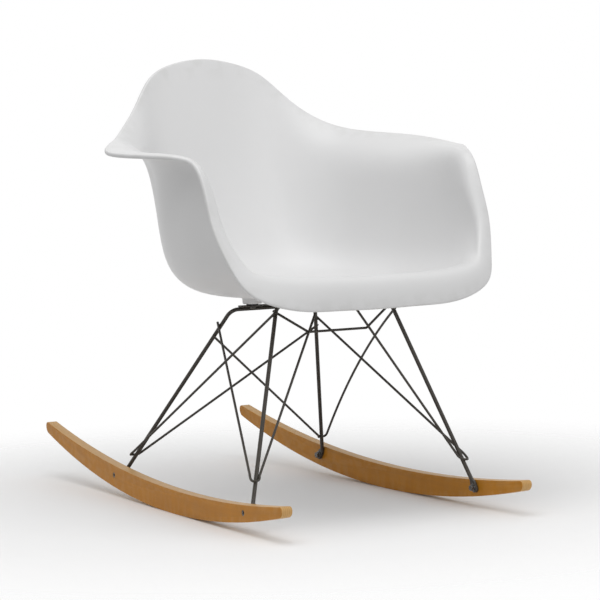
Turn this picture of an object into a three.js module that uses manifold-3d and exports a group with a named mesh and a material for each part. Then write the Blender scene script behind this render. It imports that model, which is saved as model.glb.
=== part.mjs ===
// A rocking chair: a moulded armchair shell on a bent-rod base with two wooden rockers.
// Millimetres, +Z up. The chair faces -Y and the sitter's left is +X. The origin is on the floor,
// under the middle of the chair's bounding box, and the chair stands in its balanced rest pose.
import * as THREE from 'three';
import { NURBSCurve } from 'three/addons/curves/NURBSCurve.js';
import { mergeVertices } from 'three/addons/utils/BufferGeometryUtils.js';
import Module from 'manifold-3d';

const wasm = await Module();
wasm.setup();

// ---------- driving dimensions ----------

const GAP = 0.3; // clearance between neighbouring pieces

const ROCKER = {
  radius: 1773, // of the running arc
  contactY: -74.5, // where the chair rests on the floor
  facet: 64, // length of one straight step of the running arc
  topRadius: 2787,
  topY: -127,
  topZ: 38.2, // lowest point of the top edge
  rearY: 458,
  frontY: -458,
  thick: 18.5,
  outerX: 213.7, // outer face at y = 0
  toe: 0.0185, // radians: the rockers close up towards the rear
  round: 9, // length of the rounded ends
  edge: 1.2,
};

const ROD_R = 3.25; // frame rods
const WIRE_R = 2; // brace wires

const REAR_FRAME = { barY: -36, barZ: 319, barX: 78.6, footY: 150, footZ: 46, bolt: [158.4, 36] };
const FRONT_FRAME = { barY: -236.3, barZ: 338, barX: 101.9, footY: -322, footZ: 44, bolt: [-329.2, 33] };
const BAR_BEND_R = 18;
const FOOT_BEND_R = 8;

const TAB = {
  // flattened rod ends
  thick: 5,
  wide: 13,
  past: 8.5, // beyond the bolt
  lead: 4, // before the ankle
  shoulder: 0.45, // share of its length where it reaches full width
  core: 0.42, // share of its length that the round rod runs into it
};
const TRIM = { deep: 20, side: 90, above: 5 }; // block that faces a foot off flush with its rocker
const BOLT = { shankR: 3, headR: 5.2, head: 4.2, holeR: 3.4 };
const WASHER = { r: 6.4, thick: 1.2 };
const NUT = { r: 4.6, long: 9, sunk: 0.6, socketR: 2.4, socket: 3 };

const BRACE = {
  wrapFront: 75, // height of each V's bottom on its leg
  wrapRear: 66,
  rise: 11, // depth of the loop at each V's bottom
  slack: 5, // how far the loop stands off the leg where it begins
  skip: 0.25, // share of the way round the leg before the loop begins
  low: 0.3, // share of the loop before its lowest point
  bow: 17, // rise of the left rear wire, which is bowed upwards
  sideHigh: 292, // where the front V's meet the rear legs
  sideFront: 321, // where the rear V's meet the front legs
  crossHigh: 275, // where the rear V's meet the opposite rear legs
  barX: 28, // where the front V's meet the front bar
  past: 7, // free end beyond each joint
};
const SPREADER = { halfLow: 53, y: -248.3, z: 293.5, topZ: 329, bendR: 6 };

// Screws stand beside the bar: in front of the rear one and behind the front one.
const MOUNTS = [
  { name: 'rear', frame: REAR_FRAME, x: 44, screwY: -9, strapHalf: 66 },
  { name: 'front', frame: FRONT_FRAME, x: 62, screwY: 9, strapHalf: 80 },
];
const STRAP = { thick: 2.5, wide: 20, lap: 4, holeR: 2.9 };
const PAD = { r: 10, thick: 2 };
const BOSS = { lowR: 16, highR: 21, high: 36 };
const INSERT = { r: 4.6, boreR: 2.7, long: 7 };
const SCREW = { r: 2.4, headR: 4.8, headLowR: 3.8, head: 3, long: 12, recessR: 1.8, recess: 1.6 };

const SHELL = {
  thick: 5,
  around: 72, // facets round the shell
  out: 16, // facets from the pole to the rim
  pole: [0, -120, 346], // middle of the seat
  rimRound: 0.4, // how far the rim bulges, in thicknesses
};

// Rails of the shell's upper surface, from the middle of the back round one side to the middle of
// the front lip. Each station runs from the floor of the seat out to the rim.
const STATIONS = [
  // floor rim, low wall, high wall, bend, rim
  [[0, 62, 352], [0, 112, 420], [0, 152, 545], [0, 188, 690], [0, 201, 735]],
  [[48, 58, 352], [52, 108, 420], [57, 148, 545], [59, 186, 684], [61, 197, 726]],
  [[92, 48, 352], [100, 94, 422], [105, 132, 540], [108, 172, 662], [109, 182, 702]],
  [[127, 25, 354], [139, 63, 424], [141, 93, 528], [144, 135, 622], [153, 150, 654]],
  [[154, -4, 355], [170, 21, 426], [171, 40, 520], [175, 71, 589], [211, 88, 613]],
  [[175, -44, 355], [196, -29, 428], [198, -24, 515], [203, -17, 590], [275, -16, 599]],
  [[195, -92, 355], [217, -86, 430], [221, -82, 512], [226, -79, 593], [316, -90, 585]],
  [[202, -140, 356], [228, -140, 432], [232, -140, 510], [241, -142, 591], [300, -173, 579]],
  [[203, -186, 358], [232, -194, 434], [236, -200, 508], [236, -205, 584], [263, -228, 574]],
  [[201, -222, 361], [230, -236, 434], [231, -244, 502], [228, -253, 562], [248, -269, 556]],
  [[196, -250, 364], [225, -268, 430], [228, -281, 478], [225, -287, 514], [246, -295, 508]],
  [[188, -272, 367], [218, -292, 420], [224, -304, 446], [226, -315, 465], [245, -316, 457]],
  [[172, -290, 370], [203, -316, 404], [211, -330, 415], [214, -338, 420], [231, -342, 402]],
  [[146, -300, 371], [176, -332, 392], [187, -350, 396], [196, -362, 388], [206, -366, 363]],
  [[100, -304, 370], [118, -338, 386], [124, -362, 388], [134, -378, 372], [142, -381, 341]],
  [[50, -305, 369], [58, -340, 384], [60, -364, 386], [64, -380, 370], [70, -382, 337]],
  [[0, -305, 368], [0, -340, 383], [0, -364, 385], [0, -380, 369], [0, -382, 336]],
];

const mat = {
  shell: new THREE.MeshStandardMaterial({ color: 0xd9dbdc, roughness: 0.42, metalness: 0 }),
  rod: new THREE.MeshStandardMaterial({ color: 0x24221f, roughness: 0.45, metalness: 0.3 }),
  wood: new THREE.MeshStandardMaterial({ color: 0xb9823e, roughness: 0.4, metalness: 0 }),
  rubber: new THREE.MeshStandardMaterial({ color: 0x1c1c1c, roughness: 0.8, metalness: 0 }),
  zinc: new THREE.MeshStandardMaterial({ color: 0x2b2b2b, roughness: 0.4, metalness: 0.8 }),
  brass: new THREE.MeshStandardMaterial({ color: 0xb08d4a, roughness: 0.35, metalness: 0.9 }),
};

// ---------- solids ----------

const vec = (p) => new THREE.Vector3(...p);

/** Three.js geometry to a manifold solid. */
function solid(geometry) {
  const bare = geometry.clone();
  bare.deleteAttribute('normal');
  bare.deleteAttribute('uv');
  const merged = mergeVertices(bare, 1e-4);
  const mesh = new wasm.Mesh({
    numProp: 3,
    vertProperties: new Float32Array(merged.attributes.position.array),
    triVerts: new Uint32Array(merged.index.array),
  });
  mesh.merge();
  return new wasm.Manifold(mesh);
}

/** Manifold solid back to a three.js geometry. */
function geometryOf(manifold) {
  const mesh = manifold.getMesh();
  const points = new Float32Array(mesh.numVert * 3);
  for (let i = 0; i < mesh.numVert; i++) {
    for (let k = 0; k < 3; k++) points[3 * i + k] = mesh.vertProperties[i * mesh.numProp + k];
  }
  const geometry = new THREE.BufferGeometry();
  geometry.setAttribute('position', new THREE.BufferAttribute(points, 3));
  geometry.setIndex(new THREE.BufferAttribute(new Uint32Array(mesh.triVerts), 1));
  return geometry;
}

/** Cylinder along X from x0 to x1. */
function cylinderX(radius, x0, x1, y, z, sides = 20) {
  const geometry = new THREE.CylinderGeometry(radius, radius, Math.abs(x1 - x0), sides);
  geometry.rotateZ(Math.PI / 2);
  return geometry.translate((x0 + x1) / 2, y, z);
}

/** Cone or cylinder along Z from z0 up to z1. */
function cylinderZ(lowR, highR, x, y, z0, z1, sides = 24) {
  const geometry = new THREE.CylinderGeometry(highR, lowR, z1 - z0, sides);
  geometry.rotateX(Math.PI / 2);
  return geometry.translate(x, y, (z0 + z1) / 2);
}

// ---------- bent rods ----------

/** A chain of points walked one by one, with the bisector of its two sides as tangent at each. */
class BentPath extends THREE.Curve {
  constructor(points) {
    super();
    this.points = points;
  }
  getUtoTmapping(u) {
    return u;
  }
  getPoint(t) {
    const last = this.points.length - 1;
    const at = Math.min(Math.max(t, 0), 1) * last;
    const i = Math.min(Math.floor(at + 1e-9), last - 1);
    return this.points[i].clone().lerp(this.points[i + 1], at - i);
  }
  getTangent(t) {
    const last = this.points.length - 1;
    const i = Math.round(t * last);
    const ahead = this.points[Math.min(i + 1, last)].clone().sub(this.points[Math.min(i, last - 1)]).normalize();
    const behind = this.points[Math.max(i, 1)].clone().sub(this.points[Math.max(i - 1, 0)]).normalize();
    return ahead.add(behind).normalize();
  }
}

/** Corner points to a bent line: each corner becomes an arc of its own radius. */
function bend(corners, radii, steps = 5) {
  const points = [corners[0].clone()];
  for (let i = 1; i < corners.length - 1; i++) {
    const before = corners[i - 1].clone().sub(corners[i]).normalize();
    const after = corners[i + 1].clone().sub(corners[i]).normalize();
    const half = before.angleTo(after) / 2;
    const radius = radii[i - 1];
    const reach = radius / Math.tan(half);
    const start = corners[i].clone().addScaledVector(before, reach);
    const end = corners[i].clone().addScaledVector(after, reach);
    const middle = before.clone().add(after).normalize();
    const centre = corners[i].clone().addScaledVector(middle, radius / Math.sin(half));
    const a = start.clone().sub(centre);
    const b = end.clone().sub(centre);
    const sweep = a.angleTo(b);
    for (let k = 0; k <= steps; k++) {
      const t = k / steps;
      const wa = Math.sin((1 - t) * sweep) / Math.sin(sweep);
      const wb = Math.sin(t * sweep) / Math.sin(sweep);
      points.push(centre.clone().addScaledVector(a, wa).addScaledVector(b, wb));
    }
  }
  points.push(corners[corners.length - 1].clone());
  return points;
}

/** A round rod along a chain of points. */
function rod(points, radius, sides = 10) {
  const section = new THREE.Shape();
  for (let i = 0; i <= sides; i++) {
    const a = (i / sides) * 2 * Math.PI;
    const [x, y] = [radius * Math.cos(a), radius * Math.sin(a)];
    if (i === 0) section.moveTo(x, y);
    else section.lineTo(x, y);
  }
  const path = new BentPath(points);
  const settings = { steps: points.length - 1, extrudePath: path, curveSegments: 1, bevelEnabled: false };
  return new THREE.ExtrudeGeometry(section, settings);
}

// ---------- rockers and what bolts to them ----------

/** From the rocker's own frame, where its outer face is x = 0, to the chair's. */
function rockerPlace(side) {
  const place = new THREE.Matrix4().makeRotationZ(side * ROCKER.toe);
  place.setPosition(side * ROCKER.outerX, 0, 0);
  return place;
}

const flatHalf = ROCKER.facet / 2;
const runHeight = (y) =>
  Math.sqrt(ROCKER.radius ** 2 - flatHalf ** 2) - Math.sqrt(ROCKER.radius ** 2 - (y - ROCKER.contactY) ** 2);
const topHeight = (y) =>
  ROCKER.topZ + ROCKER.topRadius - Math.sqrt(ROCKER.topRadius ** 2 - (y - ROCKER.topY) ** 2);

/** Side outline of a rocker as [y, z] points: the running arc in straight steps, then the top arc. */
function rockerOutline() {
  const { rearY, frontY, round, contactY, facet } = ROCKER;
  const low = [];
  const front = frontY + round;
  const rear = rearY - round;
  low.push([front, runHeight(front)]);
  for (let y = contactY - facet * 5.5; y < rear; y += facet) {
    if (y > front + 8 && y < rear - 8) low.push([y, Math.max(runHeight(y), 0)]);
  }
  low.push([rear, runHeight(rear)]);
  const rearNose = nose(rear, rearY);
  const high = [];
  for (let i = 0; i <= 16; i++) {
    const y = rear + ((front - rear) * i) / 16;
    high.push([y, topHeight(y)]);
  }
  const frontNose = nose(front, frontY).reverse();
  return [...low, ...rearNose, ...high, ...frontNose];
}

/** Points of a rocker's rounded end, from the running side to the top side. */
function nose(from, tip, steps = 6) {
  const [low, high] = [runHeight(from), topHeight(from)];
  const slope = (runHeight(from) - runHeight(from - (tip - from))) / (tip - from);
  const points = [];
  for (let i = 1; i < steps; i++) {
    const a = (i / steps - 0.5) * Math.PI;
    const out = (tip - from) * Math.cos(a);
    points.push([from + out, (low + high) / 2 + ((high - low) / 2) * Math.sin(a) + slope * out]);
  }
  return points;
}

function rockerGeometry(side) {
  const shape = new THREE.Shape(rockerOutline().map(([y, z]) => new THREE.Vector2(y, z)));
  const plate = new THREE.ExtrudeGeometry(shape, {
    depth: ROCKER.thick - 2 * ROCKER.edge,
    bevelEnabled: true,
    bevelThickness: ROCKER.edge,
    bevelSize: ROCKER.edge,
    bevelOffset: -ROCKER.edge,
    bevelSegments: 1,
  });
  plate.translate(0, 0, ROCKER.edge);
  // extrusion axes (y, z, x) to (x, y, z), with the thickness on the inner side of x = 0
  const turn = new THREE.Matrix4().makeBasis(vec([0, 1, 0]), vec([0, 0, 1]), vec([1, 0, 0]));
  plate.applyMatrix4(turn);
  plate.translate(side > 0 ? -ROCKER.thick : 0, 0, 0);
  let body = solid(plate);
  for (const { bolt } of [REAR_FRAME, FRONT_FRAME]) {
    const [y, z] = bolt;
    const hole = cylinderX(BOLT.holeR, -side * (ROCKER.thick + 1), side, y, z);
    const well = cylinderX(NUT.r + GAP, -side * (NUT.long + NUT.sunk + GAP), side, y, z);
    body = body.subtract(solid(hole)).subtract(solid(well));
  }
  return geometryOf(body);
}

/** Hexagon head and shank, in the rocker's frame. */
function footBolt(side, [y, z]) {
  const face = ROCKER.thick + GAP + TAB.thick + GAP + WASHER.thick + GAP;
  const head = cylinderX(BOLT.headR, -side * face, -side * (face + BOLT.head), y, z, 6);
  const tip = NUT.sunk + NUT.socket + 1;
  const shank = cylinderX(BOLT.shankR, -side * (face + 1), -side * tip, y, z, 16);
  return geometryOf(solid(head).add(solid(shank)));
}

function footWasher(side, [y, z]) {
  const face = ROCKER.thick + GAP + TAB.thick + GAP;
  const disc = solid(cylinderX(WASHER.r, -side * face, -side * (face + WASHER.thick), y, z, 24));
  const hole = solid(cylinderX(BOLT.holeR, -side * (face - 1), -side * (face + WASHER.thick + 1), y, z));
  return geometryOf(disc.subtract(hole));
}

/** Sleeve nut sunk in the rocker's outer face, with a hexagon socket. */
function footNut(side, [y, z]) {
  const outer = NUT.sunk;
  const body = solid(cylinderX(NUT.r, -side * outer, -side * (outer + NUT.long), y, z, 24));
  const bore = solid(cylinderX(BOLT.shankR + GAP, -side * (outer + NUT.socket), -side * (outer + NUT.long + 1), y, z, 16));
  const socket = solid(cylinderX(NUT.socketR, -side * (outer - 1), -side * (outer + NUT.socket + 0.5), y, z, 6));
  return geometryOf(body.subtract(bore).subtract(socket));
}

// ---------- frames ----------

/** The flattened end of a leg: a round-ended plate on the rocker's inner face, in the rocker's frame. */
function tabGeometry(side, frame) {
  const [y, z] = frame.bolt;
  const run = new THREE.Vector2(y - frame.footY, z - frame.footZ);
  const long = run.length();
  const half = TAB.wide / 2;
  const shape = new THREE.Shape();
  shape.moveTo(-ROD_R, -TAB.lead);
  shape.lineTo(ROD_R, -TAB.lead);
  shape.lineTo(half, long * TAB.shoulder);
  shape.lineTo(half, long + TAB.past - half);
  shape.absarc(0, long + TAB.past - half, half, 0, Math.PI, false);
  shape.lineTo(-half, long * TAB.shoulder);
  shape.closePath();
  const plate = new THREE.ExtrudeGeometry(shape, { depth: TAB.thick, bevelEnabled: false, curveSegments: 6 });
  // shape x runs across the tab, shape y runs down it
  const down = vec([0, run.x / long, run.y / long]);
  const out = vec([1, 0, 0]);
  const across = down.clone().cross(out);
  plate.applyMatrix4(new THREE.Matrix4().makeBasis(across, down, out));
  const inner = side > 0 ? -(ROCKER.thick + GAP + TAB.thick) : ROCKER.thick + GAP;
  return plate.translate(inner, frame.footY, frame.footZ);
}

/** A bent U of rod with a flattened, drilled foot on each side. */
function frameGeometry(frame) {
  const corner = (side) => vec([side * frame.barX, frame.barY, frame.barZ]);
  const ankle = (side) => {
    const x = -side * (ROCKER.thick + GAP + TAB.thick / 2);
    return vec([x, frame.footY, frame.footZ]).applyMatrix4(rockerPlace(side));
  };
  const toe = (side) => {
    const [y, z] = frame.bolt;
    const x = -side * (ROCKER.thick + GAP + TAB.thick / 2);
    const at = vec([x, y, z]).applyMatrix4(rockerPlace(side));
    return ankle(side).lerp(at, TAB.core);
  };
  const corners = [toe(-1), ankle(-1), corner(-1), corner(1), ankle(1), toe(1)];
  const line = bend(corners, [FOOT_BEND_R, BAR_BEND_R, BAR_BEND_R, FOOT_BEND_R]);
  let body = solid(rod(line, ROD_R));
  for (const side of [-1, 1]) {
    const place = rockerPlace(side);
    const face = ROCKER.thick + GAP;
    const trim = new THREE.BoxGeometry(TRIM.deep, TRIM.side, TRIM.side);
    const trimZ = frame.footZ + TRIM.above - TRIM.side / 2;
    trim.translate(-side * (face - TRIM.deep / 2), frame.footY, trimZ).applyMatrix4(place);
    const [y, z] = frame.bolt;
    const hole = cylinderX(BOLT.holeR, -side * (face - 5), -side * (face + TAB.thick + 5), y, z);
    body = body.add(solid(tabGeometry(side, frame).applyMatrix4(place)));
    body = body.subtract(solid(trim)).subtract(solid(hole.applyMatrix4(place)));
  }
  return geometryOf(body);
}

// ---------- braces ----------

/** The point of a leg's axis at height z. */
function legPoint(frame, side, z) {
  const [top, low] = legEnds(frame, side);
  return top.lerp(low, (top.z - z) / (top.z - low.z));
}

function legEnds(frame, side) {
  const top = vec([side * frame.barX, frame.barY, frame.barZ]);
  const x = -side * (ROCKER.thick + GAP + TAB.thick / 2);
  const low = vec([x, frame.footY, frame.footZ]).applyMatrix4(rockerPlace(side));
  return [top, low];
}

function legUp(frame, side) {
  const [top, low] = legEnds(frame, side);
  return top.sub(low).normalize();
}

const TOUCH = ROD_R + WIRE_R + GAP; // from a rod's axis to the axis of a wire beside it

/** Where a wire from a given point passes a rod: beside it, on the side that `towards` faces. */
function beside(point, along, from, towards) {
  const wire = point.clone().sub(from).normalize();
  const off = wire.clone().cross(along).normalize();
  if (off.dot(towards) < 0) off.negate();
  return point.clone().addScaledVector(off, TOUCH);
}

/** The unit part of a direction that is square to an axis. */
function square(direction, axis) {
  return direction.clone().addScaledVector(axis, -direction.dot(axis)).normalize();
}

/** Points of a loop that closes in round a leg and ends on the side facing the wire's second end. */
function wrap(centre, up, endA, endB, steps = 8) {
  const a = square(endA.clone().sub(centre), up);
  const b = square(endB.clone().sub(centre), up);
  const c = up.clone().cross(a);
  let turn = Math.atan2(b.dot(c), b.dot(a));
  if (turn > 0) turn -= 2 * Math.PI;
  else turn += 2 * Math.PI;
  const points = [];
  for (let i = 0; i <= steps; i++) {
    const t = i / steps;
    const angle = turn * (BRACE.skip + (1 - BRACE.skip) * t);
    const rise = BRACE.rise * ((t - BRACE.low) / (t < BRACE.low ? BRACE.low : 1 - BRACE.low)) ** 2;
    const radius = TOUCH + BRACE.slack * (1 - t) ** 2;
    points.push(
      centre
        .clone()
        .addScaledVector(a, radius * Math.cos(angle))
        .addScaledVector(c, radius * Math.sin(angle))
        .addScaledVector(up, rise),
    );
  }
  return points;
}

/** One V of wire: from one joint down round the leg and up to the other joint. */
function braceGeometry(centre, up, endA, endB, bow = 0) {
  const turn = wrap(centre, up, endA, endB);
  const past = (from, to) => to.clone().addScaledVector(to.clone().sub(from).normalize(), BRACE.past);
  const arch = bow ? bowed(endA, turn[0], bow) : [];
  return rod([past(turn[0], endA), ...arch, ...turn, past(turn[turn.length - 1], endB)], WIRE_R, 8);
}

/** Points between two ends along a shallow upward arch. */
function bowed(from, to, bow, steps = 8) {
  const rise = square(vec([0, 0, 1]), to.clone().sub(from).normalize());
  return Array.from({ length: steps - 1 }, (_, i) => {
    const t = (i + 1) / steps;
    return from.clone().lerp(to, t).addScaledVector(rise, 4 * bow * t * (1 - t));
  });
}

/** From the front foot back to the rear leg's top, and across to the front bar. */
function frontBrace(side) {
  const centre = legPoint(FRONT_FRAME, side, BRACE.wrapFront);
  const outward = vec([side, 0, 0]);
  const rearLeg = legPoint(REAR_FRAME, side, BRACE.sideHigh);
  const endA = beside(rearLeg, legUp(REAR_FRAME, side), centre, outward);
  const bar = vec([side * BRACE.barX, FRONT_FRAME.barY, FRONT_FRAME.barZ]);
  const endB = beside(bar, vec([1, 0, 0]), centre, vec([0, -1, 0]));
  endB.addScaledVector(endB.clone().sub(centre).normalize(), -BRACE.past);
  return braceGeometry(centre, legUp(FRONT_FRAME, side), endA, endB);
}

/** From the rear foot forward to the front leg's top, and across to the other rear leg. */
function rearBrace(side) {
  const centre = legPoint(REAR_FRAME, side, BRACE.wrapRear);
  const frontLeg = legPoint(FRONT_FRAME, side, BRACE.sideFront);
  const endA = beside(frontLeg, legUp(FRONT_FRAME, side), centre, vec([side, 0, 0]));
  const other = legPoint(REAR_FRAME, -side, BRACE.crossHigh);
  const endB = beside(other, legUp(REAR_FRAME, -side), centre, vec([0, -side, 0]));
  return braceGeometry(centre, legUp(REAR_FRAME, side), endA, endB, side > 0 ? BRACE.bow : 0);
}

function spreaderGeometry() {
  const low = (side) => vec([side * SPREADER.halfLow, SPREADER.y, SPREADER.z]);
  const high = (side) => {
    const leg = legPoint(FRONT_FRAME, side, SPREADER.topZ);
    const end = beside(leg, legUp(FRONT_FRAME, side), low(side), vec([0, 1, 0]));
    return end.addScaledVector(end.clone().sub(low(side)).normalize(), 3);
  };
  return rod(bend([high(-1), low(-1), low(1), high(1)], [SPREADER.bendR, SPREADER.bendR]), WIRE_R, 8);
}

// ---------- mounts between base and shell ----------

const strapLow = (mount) => mount.frame.barZ + ROD_R + GAP;
const padLow = (mount) => strapLow(mount) + STRAP.thick + GAP;
const bossLow = (mount) => padLow(mount) + PAD.thick + GAP;
const screwY = (mount) => mount.frame.barY + mount.screwY;

function strapGeometry(mount) {
  const towards = Math.sign(mount.screwY);
  const centreY = mount.frame.barY + towards * (STRAP.wide / 2 - STRAP.lap);
  const low = strapLow(mount);
  const plate = new THREE.BoxGeometry(2 * mount.strapHalf, STRAP.wide, STRAP.thick);
  let body = solid(plate.translate(0, centreY, low + STRAP.thick / 2));
  for (const side of [-1, 1]) {
    const hole = cylinderZ(STRAP.holeR, STRAP.holeR, side * mount.x, screwY(mount), low - 1, low + STRAP.thick + 1);
    body = body.subtract(solid(hole));
  }
  return geometryOf(body);
}

function padGeometry(mount, side) {
  const [x, y, low] = [side * mount.x, screwY(mount), padLow(mount)];
  const disc = solid(cylinderZ(PAD.r, PAD.r, x, y, low, low + PAD.thick));
  const hole = solid(cylinderZ(STRAP.holeR, STRAP.holeR, x, y, low - 1, low + PAD.thick + 1));
  return geometryOf(disc.subtract(hole));
}

function insertGeometry(mount, side) {
  const [x, y, low] = [side * mount.x, screwY(mount), bossLow(mount)];
  const body = solid(cylinderZ(INSERT.r, INSERT.r, x, y, low, low + INSERT.long, 20));
  const bore = solid(cylinderZ(INSERT.boreR, INSERT.boreR, x, y, low - 1, low + INSERT.long + 1, 20));
  return geometryOf(body.subtract(bore));
}

function screwGeometry(mount, side) {
  const [x, y] = [side * mount.x, screwY(mount)];
  const top = strapLow(mount) - GAP;
  const head = solid(cylinderZ(SCREW.headLowR, SCREW.headR, x, y, top - SCREW.head, top));
  const shank = solid(cylinderZ(SCREW.r, SCREW.r, x, y, top - 1, top + SCREW.long, 16));
  const cross = solid(cylinderZ(SCREW.recessR, SCREW.recessR, x, y, top - SCREW.head - 1, top - SCREW.head + SCREW.recess, 6));
  return geometryOf(head.add(shank).subtract(cross));
}

// ---------- shell ----------

/** Control points whose closed uniform cubic B-spline passes through the given points. */
function controlsThrough(points) {
  const n = points.length;
  let controls = points.map((p) => p.clone());
  for (let pass = 0; pass < 40; pass++) {
    controls = points.map((p, i) => {
      const sides = controls[(i + n - 1) % n].clone().add(controls[(i + 1) % n]);
      return p.clone().multiplyScalar(6).sub(sides).multiplyScalar(0.25);
    });
  }
  return controls;
}

/** Point of a closed uniform cubic B-spline, with u counted in stations. */
function closedSpline(controls, u) {
  const n = controls.length;
  const i = Math.floor(u);
  const t = u - i;
  const weights = [
    (1 - t) ** 3,
    3 * t ** 3 - 6 * t ** 2 + 4,
    -3 * t ** 3 + 3 * t ** 2 + 3 * t + 1,
    t ** 3,
  ];
  const point = new THREE.Vector3();
  weights.forEach((w, k) => point.addScaledVector(controls[(i - 1 + k + n) % n], w / 6));
  return point;
}

const mirrored = (rail) => [...rail, ...rail.slice(1, -1).reverse().map(([x, y, z]) => [-x, y, z])];
const rails = STATIONS[0].map((_, k) => controlsThrough(mirrored(STATIONS.map((s) => s[k])).map(vec)));

/** The shell's upper surface as rings of points, from the pole of the seat out to the rim. */
function surfaceRings(around, out) {
  const count = rails[0].length;
  const spokes = [];
  for (let a = 0; a < around; a++) {
    const [floor, ...wall] = rails.map((rail) => closedSpline(rail, (a / around) * count));
    const pole = vec(SHELL.pole);
    const flat = pole.clone().lerp(floor, 0.5).setZ(pole.z);
    const controls = [pole, flat, floor, ...wall].map((p) => new THREE.Vector4(p.x, p.y, p.z, 1));
    const spoke = new NURBSCurve(3, [0, 0, 0, 0, 1, 2, 3, 4, 4, 4, 4], controls);
    spokes.push(Array.from({ length: out + 1 }, (_, r) => spoke.getPoint(r / out)));
  }
  return Array.from({ length: out + 1 }, (_, r) => spokes.map((spoke) => spoke[r]));
}

/** Unit normals on the sitter's side, ring by ring. */
function ringNormals(rings) {
  const out = rings.length - 1;
  return rings.map((ring, r) =>
    ring.map((_, a) => {
      if (r === 0) return vec([0, 0, 1]);
      const n = ring.length;
      const round = ring[(a + 1) % n].clone().sub(ring[(a + n - 1) % n]);
      const outward = rings[Math.min(r + 1, out)][a].clone().sub(rings[r - 1][a]);
      return round.cross(outward).normalize();
    }),
  );
}

/** A closed wall between two depths below the upper surface, with a rounded rim. */
function wallGeometry(from, to) {
  const { around, out } = SHELL;
  const rings = surfaceRings(around, out);
  const normals = ringNormals(rings);
  const at = (r, a, depth) => rings[r][a].clone().addScaledVector(normals[r][a], -depth);
  const layers = [];
  for (let r = 0; r <= out; r++) layers.push(rings[r].map((_, a) => at(r, a, from)));
  layers.push(
    rings[out].map((p, a) => {
      const outward = p.clone().sub(rings[out - 1][a]).normalize();
      return at(out, a, (from + to) / 2).addScaledVector(outward, (to - from) * SHELL.rimRound);
    }),
  );
  for (let r = out; r >= 0; r--) layers.push(rings[r].map((_, a) => at(r, a, to)));
  const points = [layers[0][0]];
  for (let k = 1; k < layers.length - 1; k++) points.push(...layers[k]);
  points.push(layers[layers.length - 1][0]);
  const last = points.length - 1;
  const id = (k, a) => 1 + (k - 1) * around + (a % around);
  const index = [];
  for (let a = 0; a < around; a++) {
    index.push(0, id(1, a + 1), id(1, a));
    for (let k = 1; k < layers.length - 2; k++) {
      index.push(id(k, a), id(k + 1, a + 1), id(k + 1, a), id(k, a), id(k, a + 1), id(k + 1, a + 1));
    }
    index.push(id(layers.length - 2, a), id(layers.length - 2, a + 1), last);
  }
  const geometry = new THREE.BufferGeometry();
  geometry.setAttribute('position', new THREE.Float32BufferAttribute(points.flatMap((p) => p.toArray()), 3));
  geometry.setIndex(index);
  return geometry;
}

/** The moulding: wall and four bosses, with pockets for the inserts. */
function shellGeometry() {
  let body = solid(wallGeometry(0, SHELL.thick));
  const room = solid(wallGeometry(SHELL.thick / 2, BOSS.high));
  for (const mount of MOUNTS) {
    for (const side of [-1, 1]) {
      const [x, y, low] = [side * mount.x, screwY(mount), bossLow(mount)];
      const boss = solid(cylinderZ(BOSS.lowR, BOSS.highR, x, y, low, low + BOSS.high));
      const pocket = solid(cylinderZ(INSERT.r + GAP, INSERT.r + GAP, x, y, low - 1, low + INSERT.long + GAP, 20));
      body = body.add(boss.intersect(room)).subtract(pocket);
    }
  }
  return geometryOf(body);
}

// ---------- assembly ----------

const chair = new THREE.Group();

function add(name, geometry, material, matrix) {
  const mesh = new THREE.Mesh(geometry, material.clone());
  mesh.name = name;
  if (matrix) mesh.applyMatrix4(matrix);
  chair.add(mesh);
}

add('seat_shell', shellGeometry(), mat.shell);
add('rear_frame', frameGeometry(REAR_FRAME), mat.rod);
add('front_frame', frameGeometry(FRONT_FRAME), mat.rod);
add('front_spreader', spreaderGeometry(), mat.rod);

for (const [word, side] of [['right', -1], ['left', 1]]) {
  const place = rockerPlace(side);
  add(`rocker_${word}`, rockerGeometry(side), mat.wood, place);
  for (const [end, frame] of [['rear', REAR_FRAME], ['front', FRONT_FRAME]]) {
    add(`foot_bolt_${end}_${word}`, footBolt(side, frame.bolt), mat.zinc, place);
    add(`foot_washer_${end}_${word}`, footWasher(side, frame.bolt), mat.zinc, place);
    add(`foot_nut_${end}_${word}`, footNut(side, frame.bolt), mat.zinc, place);
  }
  add(`brace_front_${word}`, frontBrace(side), mat.rod);
  add(`brace_rear_${word}`, rearBrace(side), mat.rod);
  for (const mount of MOUNTS) {
    const tag = `${mount.name}_${word}`;
    add(`mount_pad_${tag}`, padGeometry(mount, side), mat.rubber);
    add(`mount_screw_${tag}`, screwGeometry(mount, side), mat.zinc);
    add(`boss_insert_${tag}`, insertGeometry(mount, side), mat.brass);
  }
}
for (const mount of MOUNTS) add(`mount_strap_${mount.name}`, strapGeometry(mount), mat.rod);

export default chair;
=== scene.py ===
"""Finished looks of a rocking armchair: moulded shell, bent-rod base and two wooden rockers.

Metres, +Z up. The chair faces -Y and the sitter's left is +X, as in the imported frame.
"""

import logging
import math
from dataclasses import dataclass, field
from enum import Enum
from typing import Iterable, Sequence

import bmesh
import bpy
import numpy as np
from mathutils import Euler, Matrix, Vector
from mathutils.bvhtree import BVHTree


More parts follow.
